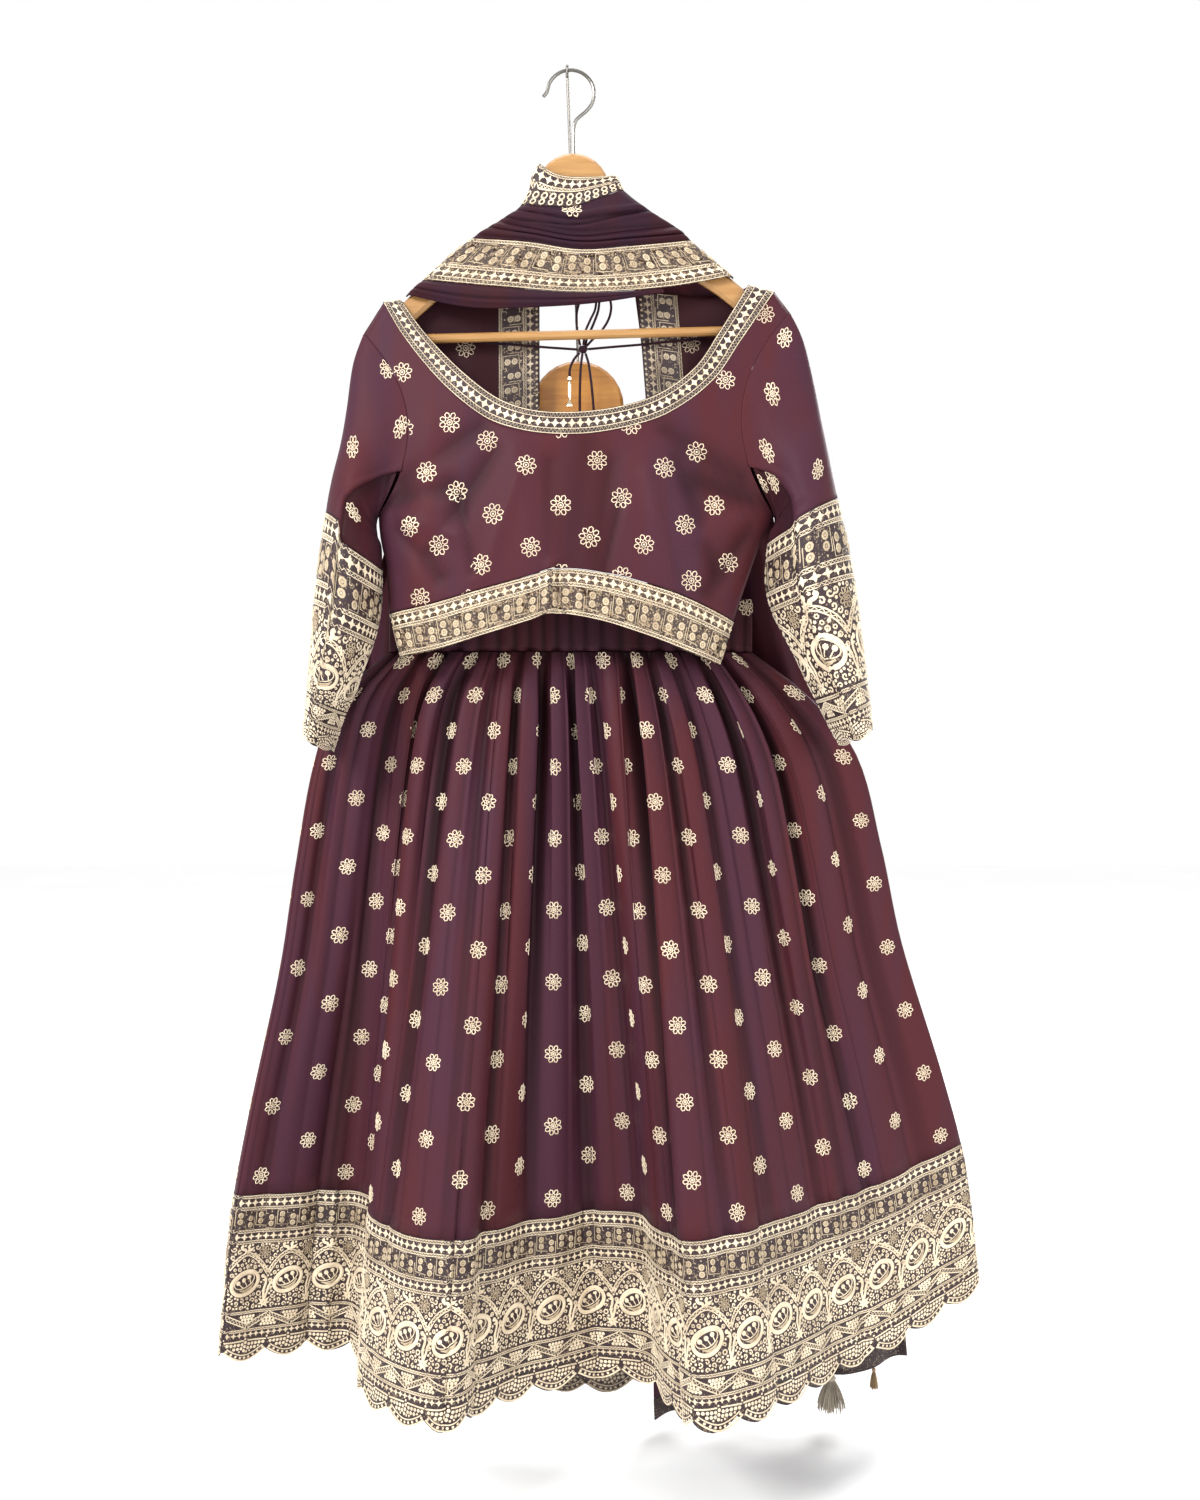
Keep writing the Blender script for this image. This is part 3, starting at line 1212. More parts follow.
def around_line(key, column):
    """A line across the body through two columns of BLOUSE_HEM."""
    height = through(BLOUSE_HEM, key, column)
    left, right = left_side(BLOUSE_HEM[0][column]), right_side(BLOUSE_HEM[-1][column])

    def line(share):
        x = lerp(left, right, np.asarray(share, float))
        return x, height(x)

    return line


def raised(line):
    """The same line at the back, higher in its middle."""

    def up(share):
        x, z = line(share)
        return x, z + BACK_RISE * np.sin(PI * np.clip(share, 0, 1))

    return up


def side_seam(hole, hem_end, share):
    """A place on the body's side between the armhole and the hem's end."""
    height = lerp(hole[1][1], hem_end[1], share)
    return (left_side(height) if hole[1][0] < 0 else right_side(height)), height


def body_strip(start, end, face):
    """The part of the body's surface between two lines."""

    def surface(u, v):
        (ax, az), (bx, bz) = start(u), end(u)
        x, z = lerp(ax, bx, v), lerp(az, bz, v)
        return stacked(x, body_depth(x, z, face), z)

    return surface


hem_top, hem_bottom = around_line(0, 1), around_line(2, 3)
back_hem_top, back_hem_bottom = raised(hem_top), raised(hem_bottom)
neck_inner = line_through([row[:2] for row in NECKLINE])
neck_outer = line_through([row[2:] for row in NECKLINE])
ARMHOLE_PART = 0.655  # the armhole's share of the back's outer edge
EDGE_ARMHOLE, EDGE_SIDE, EDGE_HEM = 0.26, 0.05, 0.38  # shares of the front's outer edge
NECK_PART = 0.31  # the share of the neckline that faces each armhole
front_outer = joined([
    (lambda s: armhole(ARMHOLES["left"], s), EDGE_ARMHOLE),
    (lambda s: side_seam(ARMHOLES["left"], hem_top(0.0), s), EDGE_SIDE),
    (hem_top, EDGE_HEM),
    (lambda s: side_seam(ARMHOLES["right"], hem_top(1.0), 1 - s), EDGE_SIDE),
    (lambda s: armhole(ARMHOLES["right"], 1 - s), EDGE_ARMHOLE),
])


def share_of_neck(u):
    """The place on the neckline from which the cloth runs to a place on the outer edge."""
    from_end = np.minimum(u, 1 - u)
    beyond = (from_end - EDGE_ARMHOLE) / (0.5 - EDGE_ARMHOLE)
    share = np.where(beyond < 0, from_end / EDGE_ARMHOLE * NECK_PART, lerp(NECK_PART, 0.5, beyond))
    return np.where(u < 0.5, share, 1 - share)


def parts_of(*edges, steps):
    """Columns from 0 to 1, evenly spread between edges that stay sharp."""
    parts = [np.linspace(a, b, max(2, round(steps * (b - a))) + 1)[:-1] for a, b in zip(edges, edges[1:])]
    return np.r_[np.concatenate(parts), edges[-1]]


def on_body(face, x, z, height):
    """Points at a height off the middle of the body's cloth."""
    small = 0.4
    slope_x = (body_depth(x + small, z, face) - body_depth(x - small, z, face)) / (2 * small)
    slope_z = (body_depth(x, z + small, face) - body_depth(x, z - small, face)) / (2 * small)
    normal = stacked(-slope_x, 1.0, -slope_z)
    normal /= np.linalg.norm(normal, axis=-1, keepdims=True)
    return stacked(x, body_depth(x, z, face), z) + normal * height[..., None]


def body_flowers(name, face, outline, radius, places, material, way):
    """Flowers on a face of the body, on the side of its cloth that way (-1 or 1) names."""
    rng = np.random.default_rng(9)
    drawn, motif = Flat(), flower(radius)
    for x, z in places:
        drawn.stamp(motif, x, -z, rng.uniform(-0.3, 0.3), rng.uniform(0.96, 1.04))
    points, faces = drawn.arrays()
    x, z = points[:, 0], -points[:, 1]
    placed = on_body(face, x, z, way * (points[:, 2] + CLOTH / 2))
    return laid(name, placed, faces, within(x, z, outline), material)


def within(x, z, outline):
    """Whether points lie inside a closed outline."""
    inside = np.zeros(len(x), bool)
    ahead = np.roll(outline, -1, axis=0)
    for (ax, az), (bx, bz) in zip(outline, ahead):
        crosses = (az > z) != (bz > z)
        with np.errstate(divide="ignore", invalid="ignore"):
            inside ^= crosses & (x < (bx - ax) * (z - az) / (bz - az) + ax)
    return inside


def outline_of(*lines, steps):
    """Points round an area, along lines that follow one another."""
    share = np.linspace(0, 1, steps)
    parts = [np.stack([np.broadcast_to(a, share.shape) for a in line(share)], -1) for line in lines]
    return np.vstack(parts)


def trimmed(share, gap, size):
    """A share of a size that leaves half a gap free at each end."""
    return lerp(gap / 2 / size, 1 - gap / 2 / size, share)


def narrow_border(length, height):
    """A cross row between plaited lines."""
    return border_rows(length, (braid, 0.6, 6.0), (cross_row, 7.4, height - 14.8, 9.0),
                       (braid, height - 6.6, 6.0))[0]


def ringed_border(length, height):
    """A cross row and paired rings between plaited lines."""
    return border_rows(length, (braid, 0.6, 3.6), (cross_row, 4.6, 8.6), (braid, 13.6, 3.6),
                       (key_band, 17.6, height - 22.2, 30.0, 3.9), (braid, height - 4.2, 3.8))


def make_hem_band(face, strip, size, across):
    def surface(u, v):
        return strip(trimmed(u, 0.3, size), lerp(0.0065, 1, v))

    band = Cloth(surface, across, 8, LACE, flip=face == "front")
    ground = band.make(f"band_of_{face}_hem", GOLD_GROUND, f"{face}_hem_border")
    length = band.length()
    lace = embroidered(f"{face}_hem", band, ringed_border(length, HEM_BAND), length, HEM_BAND)
    declare(band)


def make_blouse():
    whole = body_strip(lambda u: neck_outer(share_of_neck(u)), front_outer, -1)

    def surface(u, v):
        return whole(u, trimmed(v, 0.6, 80))

    def hollow(u, v):
        place = surface(u, v)
        relief = crease_relief(place[..., 0], place[..., 2], FRONT_CREASES)
        return 0.6 * np.clip(-relief / 5, 0, 1)

    sides = EDGE_ARMHOLE, EDGE_ARMHOLE + EDGE_SIDE
    us = parts_of(0, *sides, 1 - sides[1], 1 - sides[0], 1, steps=190)
    front = Cloth(surface, us, 56, CLOTH, shade=hollow, flip=True)
    cloth = front.make("front_of_blouse", SILK, "blouse_front")
    outline = outline_of(neck_outer, lambda s: front_outer(1 - s), steps=160)
    flowers = body_flowers("flowers_of_front", -1, outline, FLOWER, FRONT_FLOWERS, CREAM, -1)
    declare(front)

    neck = body_strip(neck_inner, neck_outer, -1)
    band = Cloth(lambda u, v: neck(u, v * 1.03), 220, 6, LACE, flip=True)
    ground = band.make("band_of_neck", GROUND, "neck_border")
    length = band.length()
    lace = charted("lace_of_neck", band, narrow_border(length, NECK_BAND), length, NECK_BAND, CREAM)
    declare(band)

    make_hem_band("front", body_strip(hem_top, hem_bottom, -1), 430, 200)
    make_hem_band("back", body_strip(back_hem_top, back_hem_bottom, 1), 350, 160)
    for side, rows in SLEEVES.items():
        make_back(side)
        make_sleeve(side, rows)


# Back edges: top, bottom, how far the lace reaches to the side, and the row of the neckline.
BACK_EDGES = {
    "left": ((-34, -240), (-34, -545), -46, 0),
    "right": ((74, -236), (101, -548), 45, -1),
}


def on_angle(pair):
    """A place on the body as its angle round the body and its height."""
    x, z = pair
    return np.arcsin(np.clip((x - body_middle(z)) / body_half(z), -1, 1)), z


def body_panel(top, bottom, left, right, face):
    """The part of the body's surface between four lines."""

    def surface(u, v):
        t, b, l, r = on_angle(top(u)), on_angle(bottom(u)), on_angle(left(v)), on_angle(right(v))
        ends = [on_angle(line(end)) for line in (top, bottom) for end in (0.0, 1.0)]
        angle, height = (
            lerp(t[k], b[k], v)
            + (l[k] - lerp(ends[0][k], ends[2][k], v)) * (1 - u)
            + (r[k] - lerp(ends[1][k], ends[3][k], v)) * u
            for k in (0, 1)
        )
        x = body_middle(height) + body_half(height) * np.sin(angle)
        return stacked(x, body_depth(x, height, face), height)

    return surface


def part_of_line(line, start_across, end_across):
    """The part of a line between two places across."""
    shares = np.linspace(0, 1, 2001)
    across = line(shares)[0]
    start, end = np.interp([start_across, end_across], across, shares)
    return lambda share: line(lerp(start, end, np.asarray(share, float)))


def back_border(length):
    """The strip of a back edge: paired rings, a cross row and dots."""
    drawn = Flat()
    braid(drawn, length, 0.6, 3.4)
    key_band(drawn, length, 4.4, 23.0, 30.0, 3.7)
    braid(drawn, length, 27.8, 3.4)
    cross_row(drawn, length, 31.6, 8.0, 9.0)
    drawn.dot(np.arange(3, length, 6.0), BACK_STRIP - 3.2, 1.5, 1.0)
    return drawn


def make_back(side):
    top, low, border, row = BACK_EDGES[side]
    hole = ARMHOLES[side]
    inward = 1 if side == "left" else -1
    hem_end = back_hem_top(0.0 if side == "left" else 1.0)
    seam_top = (top[0] + border, top[1] - 5)
    seam_low_x = low[0] + border
    neck_in, neck_out = NECKLINE[row][:2], NECKLINE[row][2:]
    from_shoulder = joined([
        (line_through([hole[0], neck_out, neck_in]), 0.3),
        (line_through([neck_in, (lerp(neck_in[0], seam_top[0], 0.5), -243), seam_top]), 0.7),
    ])
    to_hem = part_of_line(back_hem_top, min(hem_end[0], seam_low_x), max(hem_end[0], seam_low_x))
    from_side = to_hem if inward > 0 else (lambda share: to_hem(1 - np.asarray(share, float)))
    seam_low = (seam_low_x, float(from_side(1.0)[1]))
    outer = joined([
        (lambda s: armhole(hole, s), ARMHOLE_PART),
        (lambda s: side_seam(hole, hem_end, s), 1 - ARMHOLE_PART),
    ])
    seam = line_through([seam_top, seam_low])
    panel = body_panel(from_shoulder, from_side, outer, seam, 1)
    us = parts_of(0, 0.3, 1, steps=54)
    vs = parts_of(0, ARMHOLE_PART, 1, steps=64)

    def back_surface(u, v):
        return panel(trimmed(u, 0.3, 160), trimmed(v, 0.3, 300))

    back = Cloth(back_surface, us, vs, CLOTH, flip=inward < 0)
    cloth = back.make(f"back_of_blouse_{side}", SILK, f"blouse_back_{side}", INSIDE_SHADE)
    outline = outline_of(from_shoulder, seam, lambda s: from_side(1 - s), lambda s: outer(1 - s), steps=80)
    places = BACK_FLOWERS[side]
    flowers = [
        body_flowers(f"flowers_{word}_back_{side}", 1, outline, radius, places, material, way)
        for word, radius, material, way in (("of", FLOWER, CREAM, 1),
                                            ("inside", INNER_FLOWER, CREAM_INSIDE, -1))
    ]
    declare(back)
    edge_low = (low[0], float(part_of_line(back_hem_top, low[0], low[0] + 1)(0.0)[1]))
    strip = body_strip(seam, line_through([top, edge_low]), 1)

    def edge_surface(u, v):
        return strip(trimmed(u, 1.8, 300), trimmed(v, 0.3, 46))

    edge = Cloth(edge_surface, 120, 8, LACE, flip=inward > 0)
    ground = edge.make(f"strip_of_back_{side}", GROUND, f"back_border_{side}")
    length = edge.length()
    drawn = back_border(length)
    lace = [
        charted(f"lace_{word}_back_{side}", edge, drawn, length, BACK_STRIP, material, way * edge.side)
        for word, material, way in (("of", CREAM, 1), ("inside", CREAM_INSIDE, -1))
    ]
    declare(edge)


# ---------------------------------------------------------------- sleeves
def sleeve_surface(hole, rows, relief=None):
    """A sleeve from its armhole down; the turn runs from its outer edge over the front and back."""
    rings = [((0, 0), (0, 0), 0, 0, 0)] + rows
    outer, inner, bow, front, back = columns_of(rings, 5)
    last = len(rings) - 1

    def ring_point(k, turn):
        """A place on a ring of the sleeve; the first ring is the armhole itself."""
        angle = turn * 2 * PI
        share = (1 - np.cos(angle)) / 2
        sine = np.sin(angle)
        x = lerp(outer[k, 0], inner[k, 0], share) + bow[k] * sine * sine
        z = lerp(outer[k, 1], inner[k, 1], share)
        y = np.where(sine > 0, -front[k] * sine, -back[k] * sine)
        ax, az = armhole(hole, share)
        ahead = turn < 0.5
        depth = np.where(ahead, body_depth(ax, az, -1, False), body_depth(ax, az, 1, False))
        depth = depth * np.minimum(1, np.abs(sine) * 20)
        first = k == 0
        ax, az = ax + math.copysign(0.3, hole[1][0]), az + share * 0.3
        return stacked(np.where(first, ax, x), np.where(first, depth, y), np.where(first, az, z))

    def surface(turn, down):
        turn, down = np.broadcast_arrays(np.mod(turn, 1), down)
        a, b, c, d, t = four_rows(ring_point, last, np.clip(down, 0, 1) * last, turn)
        point = hermite(b, c, (c - a) / 2, (d - b) / 2, t)
        if relief is None:
            return point
        ends = plain(np.zeros_like(turn), down), plain(np.full_like(turn, 0.5), down)
        away = point - 0.5 * (ends[0] + ends[1])
        away /= np.maximum(np.linalg.norm(away, axis=-1, keepdims=True), 1e-6)
        return point + away * relief(turn, down, point[..., 2])[..., None]

    plain = sleeve_surface(hole, rows) if relief else None
    return surface


# Where each sleeve is folded under: the height at which the fold leaves the armhole, the height where
# it hangs straight down, the turn where it does, and how much lower the border starts on the part
# folded under.
SLEEVE_FOLDS = {"left": (-425, -478, 0.218, 0.031), "right": (-400, -450, 0.322, 0.013)}
SLEEVE_ROUND = 330.0  # length round a sleeve
SLEEVE_SCALLOPS = 5


def fold_of_sleeve(side, turn, z):
    """How far a point of the sleeve lies past the fold, in mm round the sleeve."""
    high, low, at, _ = SLEEVE_FOLDS[side]
    share = np.clip((high - z) / (high - low), 0, 1)
    return (turn - lerp(0.5, at, share**0.55)) * SLEEVE_ROUND


def border_start(side, turn, at):
    """Share of the way down at which the sleeve's border starts."""
    *_, fold, lower = SLEEVE_FOLDS[side]
    turn = np.mod(turn, 1)
    return at + lower * smoothstep(fold - 0.004, fold + 0.004, turn) * (1 - smoothstep(0.5, 0.72, turn))


def sleeve_relief(side):
    """The fold of the sleeve, pinched folds under the arm and soft ones across the elbow."""
    high = SLEEVE_FOLDS[side][0]

    def relief(turn, down, z):
        past = fold_of_sleeve(side, turn, z)
        hung = smoothstep(high, high - 14, z) * (turn < 0.5)
        under = -4.2 * smoothstep(-1.5, 4.5, past) * (1 - 0.55 * smoothstep(20, 90, past))
        under = under * (1 - smoothstep(0.44, 0.5, turn))
        lip = 1.8 * np.exp(-(((past + 5) / 5) ** 2))
        fold = (under + lip) * hung * (1 - 0.35 * smoothstep(0.6, 1.0, down))
        inner = np.exp(-(((turn - 0.43 + 0.5) % 1 - 0.5) / 0.09) ** 2)
        pinch = inner * np.exp(-((down - 0.42) / 0.1) ** 2) * 2.4 * np.sin(52 * down + 9 * turn)
        front = np.exp(-(((turn - 0.22 + 0.5) % 1 - 0.5) / 0.16) ** 2)
        elbow = 2.0 * np.sin(19 * down + 7 * turn) * smoothstep(0.1, 0.3, down)
        folds = pinch + front * (elbow + 1.2 * np.sin(31 * turn))
        return folds * smoothstep(0.03, 0.14, down) * (1 - 0.5 * smoothstep(0.5, 0.75, down)) + fold

    return relief


def deep_border(length, scallops, notch, fields):
    """The wide border of hem and sleeves: bands of crosses and rings, mangos, zigzags and scallops."""
    top, low = 56.4, BORDER_HEIGHT - 57.2
    drawn, golden = border_rows(
        length, (braid, 1.0), (cross_row, 5.0, 8.6), (braid, 14.2), (key_band, 18.0, 21.6), (braid, 40.2),
        (cross_row, 44.2, 7.8), (braid, top - 3.8), (braid, low, 3.0),
        (zigzag_row, low + 3.2, 17.2, fields), (braid, low + 20.6, 3.0), (cross_row, low + 24.0, 6.2, 7.3),
        (scallop_row, low + 30.6, BORDER_HEIGHT - low - 30.6, scallops, notch),
    )
    mango_field(drawn, golden, length, top, low - top - 0.4, fields)
    return drawn, golden


def with_mirrored(places):
    """Places on a sleeve, each but those at its very edge followed by its mirror image at the back."""
    found = []
    for turn, down in places:
        found.append((turn, down))
        if turn > 0.1:
            found.append((1 - turn, min(0.97, down + 0.03)))
    return found


def make_sleeve(side, rows):
    hole = ARMHOLES[side]
    surface = sleeve_surface(hole, rows, sleeve_relief(side))
    at = BORDER_RING / len(rows)
    flip = side == "left"

    def upper_surface(u, v):
        return surface(u, lerp(0.0, border_start(side, u, at) - 0.0004, v))

    def hollow(u, v):
        z = upper_surface(u, v)[..., 2]
        past = fold_of_sleeve(side, np.mod(u, 1), z)
        under = smoothstep(-1, 3, past) * (1 - 0.75 * smoothstep(4, 60, past)) * (np.mod(u, 1) < 0.5)
        return 0.7 * under * smoothstep(SLEEVE_FOLDS[side][0], SLEEVE_FOLDS[side][0] - 14, z)

    upper = Cloth(upper_surface, 150, 48, CLOTH, around=True, shade=hollow, flip=flip)
    cloth = upper.make(f"sleeve_cloth_{side}", SILK, f"sleeve_{side}")
    flowers = scattered(f"flowers_of_sleeve_{side}", upper, FLOWER, with_mirrored(SLEEVE_FLOWERS[side]))
    declare(upper)

    def even_surface(u, v, notched=0.0):
        return surface(u, lerp(border_start(side, u, at) + 0.0008, 1 - notched, v))

    def lace_surface(u, v):
        return even_surface(u, v, 0.028 * (1 - np.abs(np.sin(u * SLEEVE_SCALLOPS * PI))))

    lace = Cloth(lace_surface, 150, 56, LACE, around=True, flip=flip)
    ground = lace.make(f"sleeve_ground_{side}", GROUND, f"sleeve_border_{side}")
    even = Cloth(even_surface, 240, 60, LACE, around=True, flip=flip)
    length = lace.length(0.4) * BORDER_HEIGHT / even.depth()
    drawings = deep_border(length, SLEEVE_SCALLOPS, 6.0, 4)
    pieces = embroidered(f"sleeve_{side}", even, drawings, length, BORDER_HEIGHT)
    declare(lace)


# ---------------------------------------------------------------- skirt
hem_ring, waist_ring = ring_through(HEM, HEM_SEAM_ROW), ring_through(WAIST, WAIST_SEAM_ROW)
flare_left, flare_right = through(FLARE, 0, 1), through(FLARE, 0, 2)


def seam_height(depth):
    """Height of the waistband's seam, which sags at the back."""
    return WAIST_SEAM - WAIST_SAG * np.clip((depth - WAIST_DEPTH) / 21, 0, 1)


def skirt_base(turn, down):
    """The skirt without its pleats, from the seam (down 0) to the hem (down 1)."""
    (wx, wy, _), (hx, hy, hz) = waist_ring(turn), hem_ring(turn)
    side = np.clip((hx - 45) / 430, -1, 1)
    swell = np.where(side < 0, flare_left(down), flare_right(down))
    spread = lerp(down**0.85, swell, np.abs(side) ** 1.5)
    return stacked(lerp(wx, hx, spread), lerp(wy, hy, down**0.8), lerp(seam_height(wy), hz, down))


def turn_at(x, half):
    """The turn at which the hem's front or back half passes a place across."""
    turns = np.linspace(0.02, 0.48, 400) + (0.5 if half == "back" else 0.0)
    return float(turns[np.argmin(np.abs(hem_ring(turns)[0] - x))])


# Long sharp creases that run down through the border: half of the skirt and place across at the hem,
# width in turns, depth and where they start.
CREASES_AT_HEM = [
    ("front", -300, 0.0035, 9.0, 0.3), ("front", -282, 0.0030, -4.0, 0.35),
    ("front", -126, 0.0032, 8.0, 0.45), ("front", -95, 0.0032, 7.0, 0.5),
    ("front", 30, 0.0036, 4.0, 0.4), ("front", 118, 0.0030, 4.5, 0.5),
    ("front", 226, 0.0034, 5.0, 0.45), ("front", 330, 0.0032, 4.5, 0.35),
    ("back", -250, 0.0034, 5.0, 0.4), ("back", -60, 0.0032, 4.5, 0.45),
    ("back", 130, 0.0034, 5.0, 0.4), ("back", 300, 0.0032, 4.5, 0.45),
]
SKIRT_CREASES = [(turn_at(x, half), *rest) for half, x, *rest in CREASES_AT_HEM]


def pleat_phase(turn):
    """Where a turn lies in its pleat: full circles on a pleat's top, half a circle more in a valley."""
    angle = 2 * PI * turn
    return angle * 2 * PLEATS + 0.8 * np.sin(5 * angle) + 0.6 * np.sin(11 * angle + 1)


def second_pleats(turn):
    """Smaller pleats between the main ones: 1 on their tops and 0 in their creases."""
    return np.abs(np.cos(1.05 * pleat_phase(turn) + 1.5 * np.sin(14 * PI * turn)))


def pleat_depth(turn, down):
    """Uneven pleats that open under the seam, close at the side seams and fade downwards."""
    angle = 2 * PI * turn
    uneven = 1 + 0.3 * np.sin(9 * angle + 2) + 0.15 * np.sin(17 * angle)
    opened = 0.4 + 0.6 * np.clip(down / 0.08, 0, 1)
    from_seam = 0.25 - np.abs(np.mod(turn * 2, 1) - 0.5) / 2
    seamed = np.clip(from_seam / 0.03, 0, 1)
    fade = 0.8 * (1 - down) ** 1.1 + 0.2 * (1 - down) ** 0.35
    return PLEAT_DEPTH * uneven * opened * seamed * fade


def skirt_point(turn, down):
    """The gathered cloth: deep uneven pleats with smaller ones between, that fade towards the hem."""
    turn, down = np.broadcast_arrays(np.asarray(turn, float), np.asarray(down, float))
    point = skirt_base(turn, down)
    along = skirt_base(turn + 0.002, down) - skirt_base(turn - 0.002, down)
    flat = along[..., :2] / np.linalg.norm(along[..., :2], axis=-1, keepdims=True)
    phase = pleat_phase(turn)
    depth = pleat_depth(turn, down)
    angle = 2 * PI * turn
    small = (2 * second_pleats(turn) ** 0.6 - 1) * (0.4 + 0.14 * np.sin(13 * angle))
    wander = 0.5 * np.sin(6 * down + 4 * np.sin(9 * angle))
    round_tops = 2 * np.abs(np.cos((phase + wander * down) / 2)) ** 0.8 - 1
    out = depth * (round_tops + small * (1 - 0.6 * down))
    out = out + 1.4 * down * (1 - 0.3 * down) * np.sin(0.7 * phase + 2 + 3 * down)
    for at, width, sunk, start in SKIRT_CREASES:
        out = out - sunk * np.exp(-np.abs((turn - at) / width)) * smoothstep(start, start + 0.3, down)
    aside = 0.42 * depth * np.sin(2 * phase)
    x, y = flat[..., 0], flat[..., 1]
    return point + stacked(y * out + x * aside, -x * out + y * aside, 0.0)


def skirt_shade(turn, down):
    """How dark the silk is: deep in the pleats and along the creases."""
    valley = smoothstep(-0.72, -1.0, np.cos(pleat_phase(turn)))
    lines = sum(np.exp(-np.abs((turn - at) / width)) for at, width, _, _ in SKIRT_CREASES)
    low = 0.32 * np.clip(lines, 0, 1) * smoothstep(0.3, 0.6, down)
    low = low + 0.6 * smoothstep(0.26, 0.02, second_pleats(turn)) * (1 - 0.8 * down)
    deep = valley * np.clip(pleat_depth(turn, down) / PLEAT_DEPTH, 0, 1) ** 0.8 * 0.95
    return np.clip(deep + low, 0, 1)


def make_waistband():
    def gather_phase(u):
        return 2 * PI * WAIST_GATHERS * u + 2 * np.sin(9 * PI * u)

    def surface(u, v):
        x, y, _ = waist_ring(u)
        gathers = 0.9 * np.sin(PI * v) + 1.3 * np.sin(gather_phase(u)) * (0.35 + 0.65 * v)
        height = lerp(WAIST_TOP, seam_height(y) + 0.3, v)
        return stacked(x, y + gathers * np.sign(y - WAIST_DEPTH), height)

    def shade(u, v):
        return 0.45 * smoothstep(0.2, -1.0, np.sin(gather_phase(u))) + 0.35 * (u < 0.5)

    band = Cloth(surface, 440, 8, 2 * CLOTH, around=True, shade=shade, flip=True)
    cloth = band.make("band_of_waist", SILK, "waistband")
    flowers = scattered("flowers_of_waist", band, SKIRT_FLOWER, [WAIST_FLOWER])
    declare(band)


def make_half(half, start):
    """A half of the skirt: its cloth with flowers, and its border."""
    gap = 0.15 / SKIRT_LENGTH
    count = SCALLOPS[half]

    def turn_of(u):
        return start + 0.5 * trimmed(u, 0.6, 1000)

    def panel(u, v):
        return skirt_point(turn_of(u), lerp(8 * gap, BORDER_TOP - gap, v))

    def shade(u, v):
        return skirt_shade(start + 0.5 * u, v * BORDER_TOP)

    def whole_surface(u, v, notched=0.0):
        return skirt_point(turn_of(u), lerp(BORDER_TOP + gap, 1 - notched, v))

    def lace_surface(u, v):
        notch = 1 - np.abs(np.sin(u * count * PI))
        return whole_surface(u, v, SCALLOP_DEPTH / SKIRT_LENGTH * notch)

    cloth = Cloth(panel, 440, 34, CLOTH, joins=True, shade=shade, flip=True)
    made = cloth.make(f"cloth_of_skirt_{half}", SILK, f"skirt_{half}")
    depth = cloth.depth()
    places = in_columns(round(cloth.length() / FLOWER_COLUMN), depth, (49.6, 9.6), 0.985 * depth)
    flowers = scattered(f"flowers_of_skirt_{half}", cloth, SKIRT_FLOWER, places)
    declare(cloth)

    lace = Cloth(lace_surface, count * 16, 24, LACE, joins=True, flip=True)
    whole = Cloth(whole_surface, count * 8, 50, LACE, joins=True, flip=True)
    ground = lace.make(f"ground_of_hem_{half}", GROUND, f"hem_border_{half}")
    length = count * SCALLOP_WIDTH
    drawings = deep_border(length, count, SCALLOP_DEPTH, count)
    pieces = embroidered(f"hem_{half}", whole, drawings, length, BORDER_HEIGHT)
    if half == "back":
        pieces.append(lace_inside(whole, count, length))
    declare(lace)


def lace_inside(whole, count, length):
    """The lower rows of the back's border from inside, where they show under the front."""
    inner = Flat()
    scallop_row(inner, length, 163.4, BORDER_HEIGHT - 163.4, count, SCALLOP_DEPTH)
    cross_row(inner, length, 156.8, 6.2, 7.3)
    points, faces = inner.arrays()
    across = points[faces][:, :, 0] / length
    inner.points, inner.faces = [points], [faces[((across > 0.3) & (across < 0.72)).all(axis=1)]]
    return charted("lace_inside_hem", whole, inner, length, BORDER_HEIGHT, CREAM_INSIDE, -whole.side)


def make_skirt():
    make_waistband()
    make_half("front", 0.0)
    make_half("back", 0.5)


# ---------------------------------------------------------------- dupatta
arm_top_at, fold_at = through(BOARD_ARM, 0, 1), through(DUPATTA_FOLD, 0, 1)


def over_arm(x):
    """Height at which the scarf lies over the first hanger."""
    x = np.asarray(x, float)
    middle, radius = BOARD_HEAD
    head_x = x + (middle + radius) * math.sin(HANGER_TILT)
    head = radius + DUPATTA_LIFT
    over_head = middle + np.sqrt(np.maximum(head**2 - head_x**2, 0))
    cos, sin = math.cos(HANGER_TILT), math.sin(HANGER_TILT)
    along = np.maximum(np.abs(x * cos - arm_top_at(np.abs(x)) * sin), BOARD_ARM[0][0])
    slope = arm_top_at(along + 1) - arm_top_at(along)
    arm = (arm_top_at(along) + DUPATTA_LIFT * np.hypot(1, slope)) * cos - np.sign(x) * along * sin
    return np.maximum(np.maximum(arm, np.where(over_head > middle, over_head, -np.inf)), fold_at(x))


